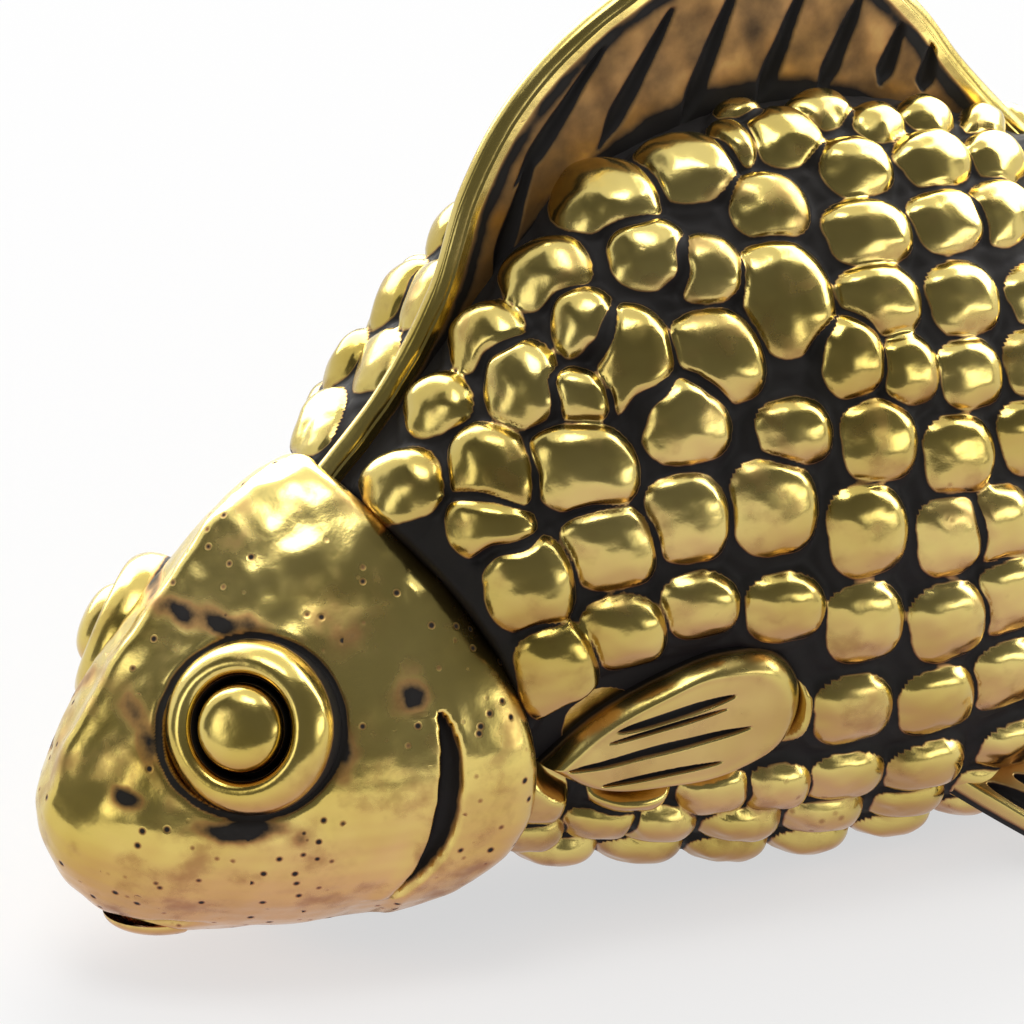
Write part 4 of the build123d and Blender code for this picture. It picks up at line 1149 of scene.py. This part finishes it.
# Azimuth, elevation, distance, width, height and brightness of each lamp.
overhead = soft_lamp("overhead", -50, 70, 0.34, 0.15, 0.13, 5.0)
back_right = soft_lamp("back_right", 150, 56, 0.40, 0.24, 0.16, 5.0)
back_right.visible_glossy = False
reflector = reflected_wall("back_reflector", (50, 205), 0.26, 0.26, (0.05, 0.44), (7.0, 7.0))
# Azimuth, height, half widths in both and brightness of each patch.
FLAG_PATCHES = ((-80, 0.030, 16, 0.022, 1.8), (24, 0.016, 17, 0.007, 3.2))
flag = reflected_wall("camera_side_flag", (-130, 48), 0.085, 0.050, (0.003, 0.115), (0.18, 0.06), FLAG_PATCHES)
print("lamps and walls", [thing.name for thing in (overhead, back_right, reflector, flag)])

# %% [markdown]
# The camera stands well back with a long lens, 28 degrees round from the fish's left side towards its face and 23
# degrees up. The frame cuts the fish behind the middle of its back fin, as the photograph does.

# %% Camera
CAMERA_AZIMUTH, CAMERA_ELEVATION, CAMERA_DISTANCE = -28, 23, 0.6
SENSOR_WIDTH, SEEN_WIDTH = 36, 0.03413
AIM_X, AIM_Y, AIM_Z = 14.97, -5.0, 16.3
back = heading(CAMERA_AZIMUTH, CAMERA_ELEVATION)
aim = Vector(((AIM_X + SNOUT_X) * MM, AIM_Y * MM, AIM_Z * MM))
camera_data = bpy.data.cameras.new("camera")
camera_data.sensor_width = SENSOR_WIDTH
camera_data.lens = SENSOR_WIDTH * CAMERA_DISTANCE / SEEN_WIDTH
camera_data.clip_start, camera_data.clip_end = 0.01, 20
camera = bpy.data.objects.new("camera", camera_data)
camera.location = aim + back * CAMERA_DISTANCE
camera.rotation_euler = back.to_track_quat("Z", "Y").to_euler()
bpy.context.scene.collection.objects.link(camera)
bpy.context.scene.camera = camera
bpy.context.scene.view_settings.view_transform = "Standard"
print("lens", round(camera_data.lens, 1), "mm at", CAMERA_DISTANCE, "m")

# %% [markdown]
# Last, the size of the finished surfaces is printed beside that of the CAD solids. Neither may differ much.

# %% Sizes and the last line
seen_low, seen_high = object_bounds()
sizes = {"cad": [list(cad_low), list(cad_high)], "visual": [list(seen_low), list(seen_high)]}
for name, (low, high) in sizes.items():
    print(name, np.round(np.array(low) * 1000, 3), np.round(np.array(high) * 1000, 3))
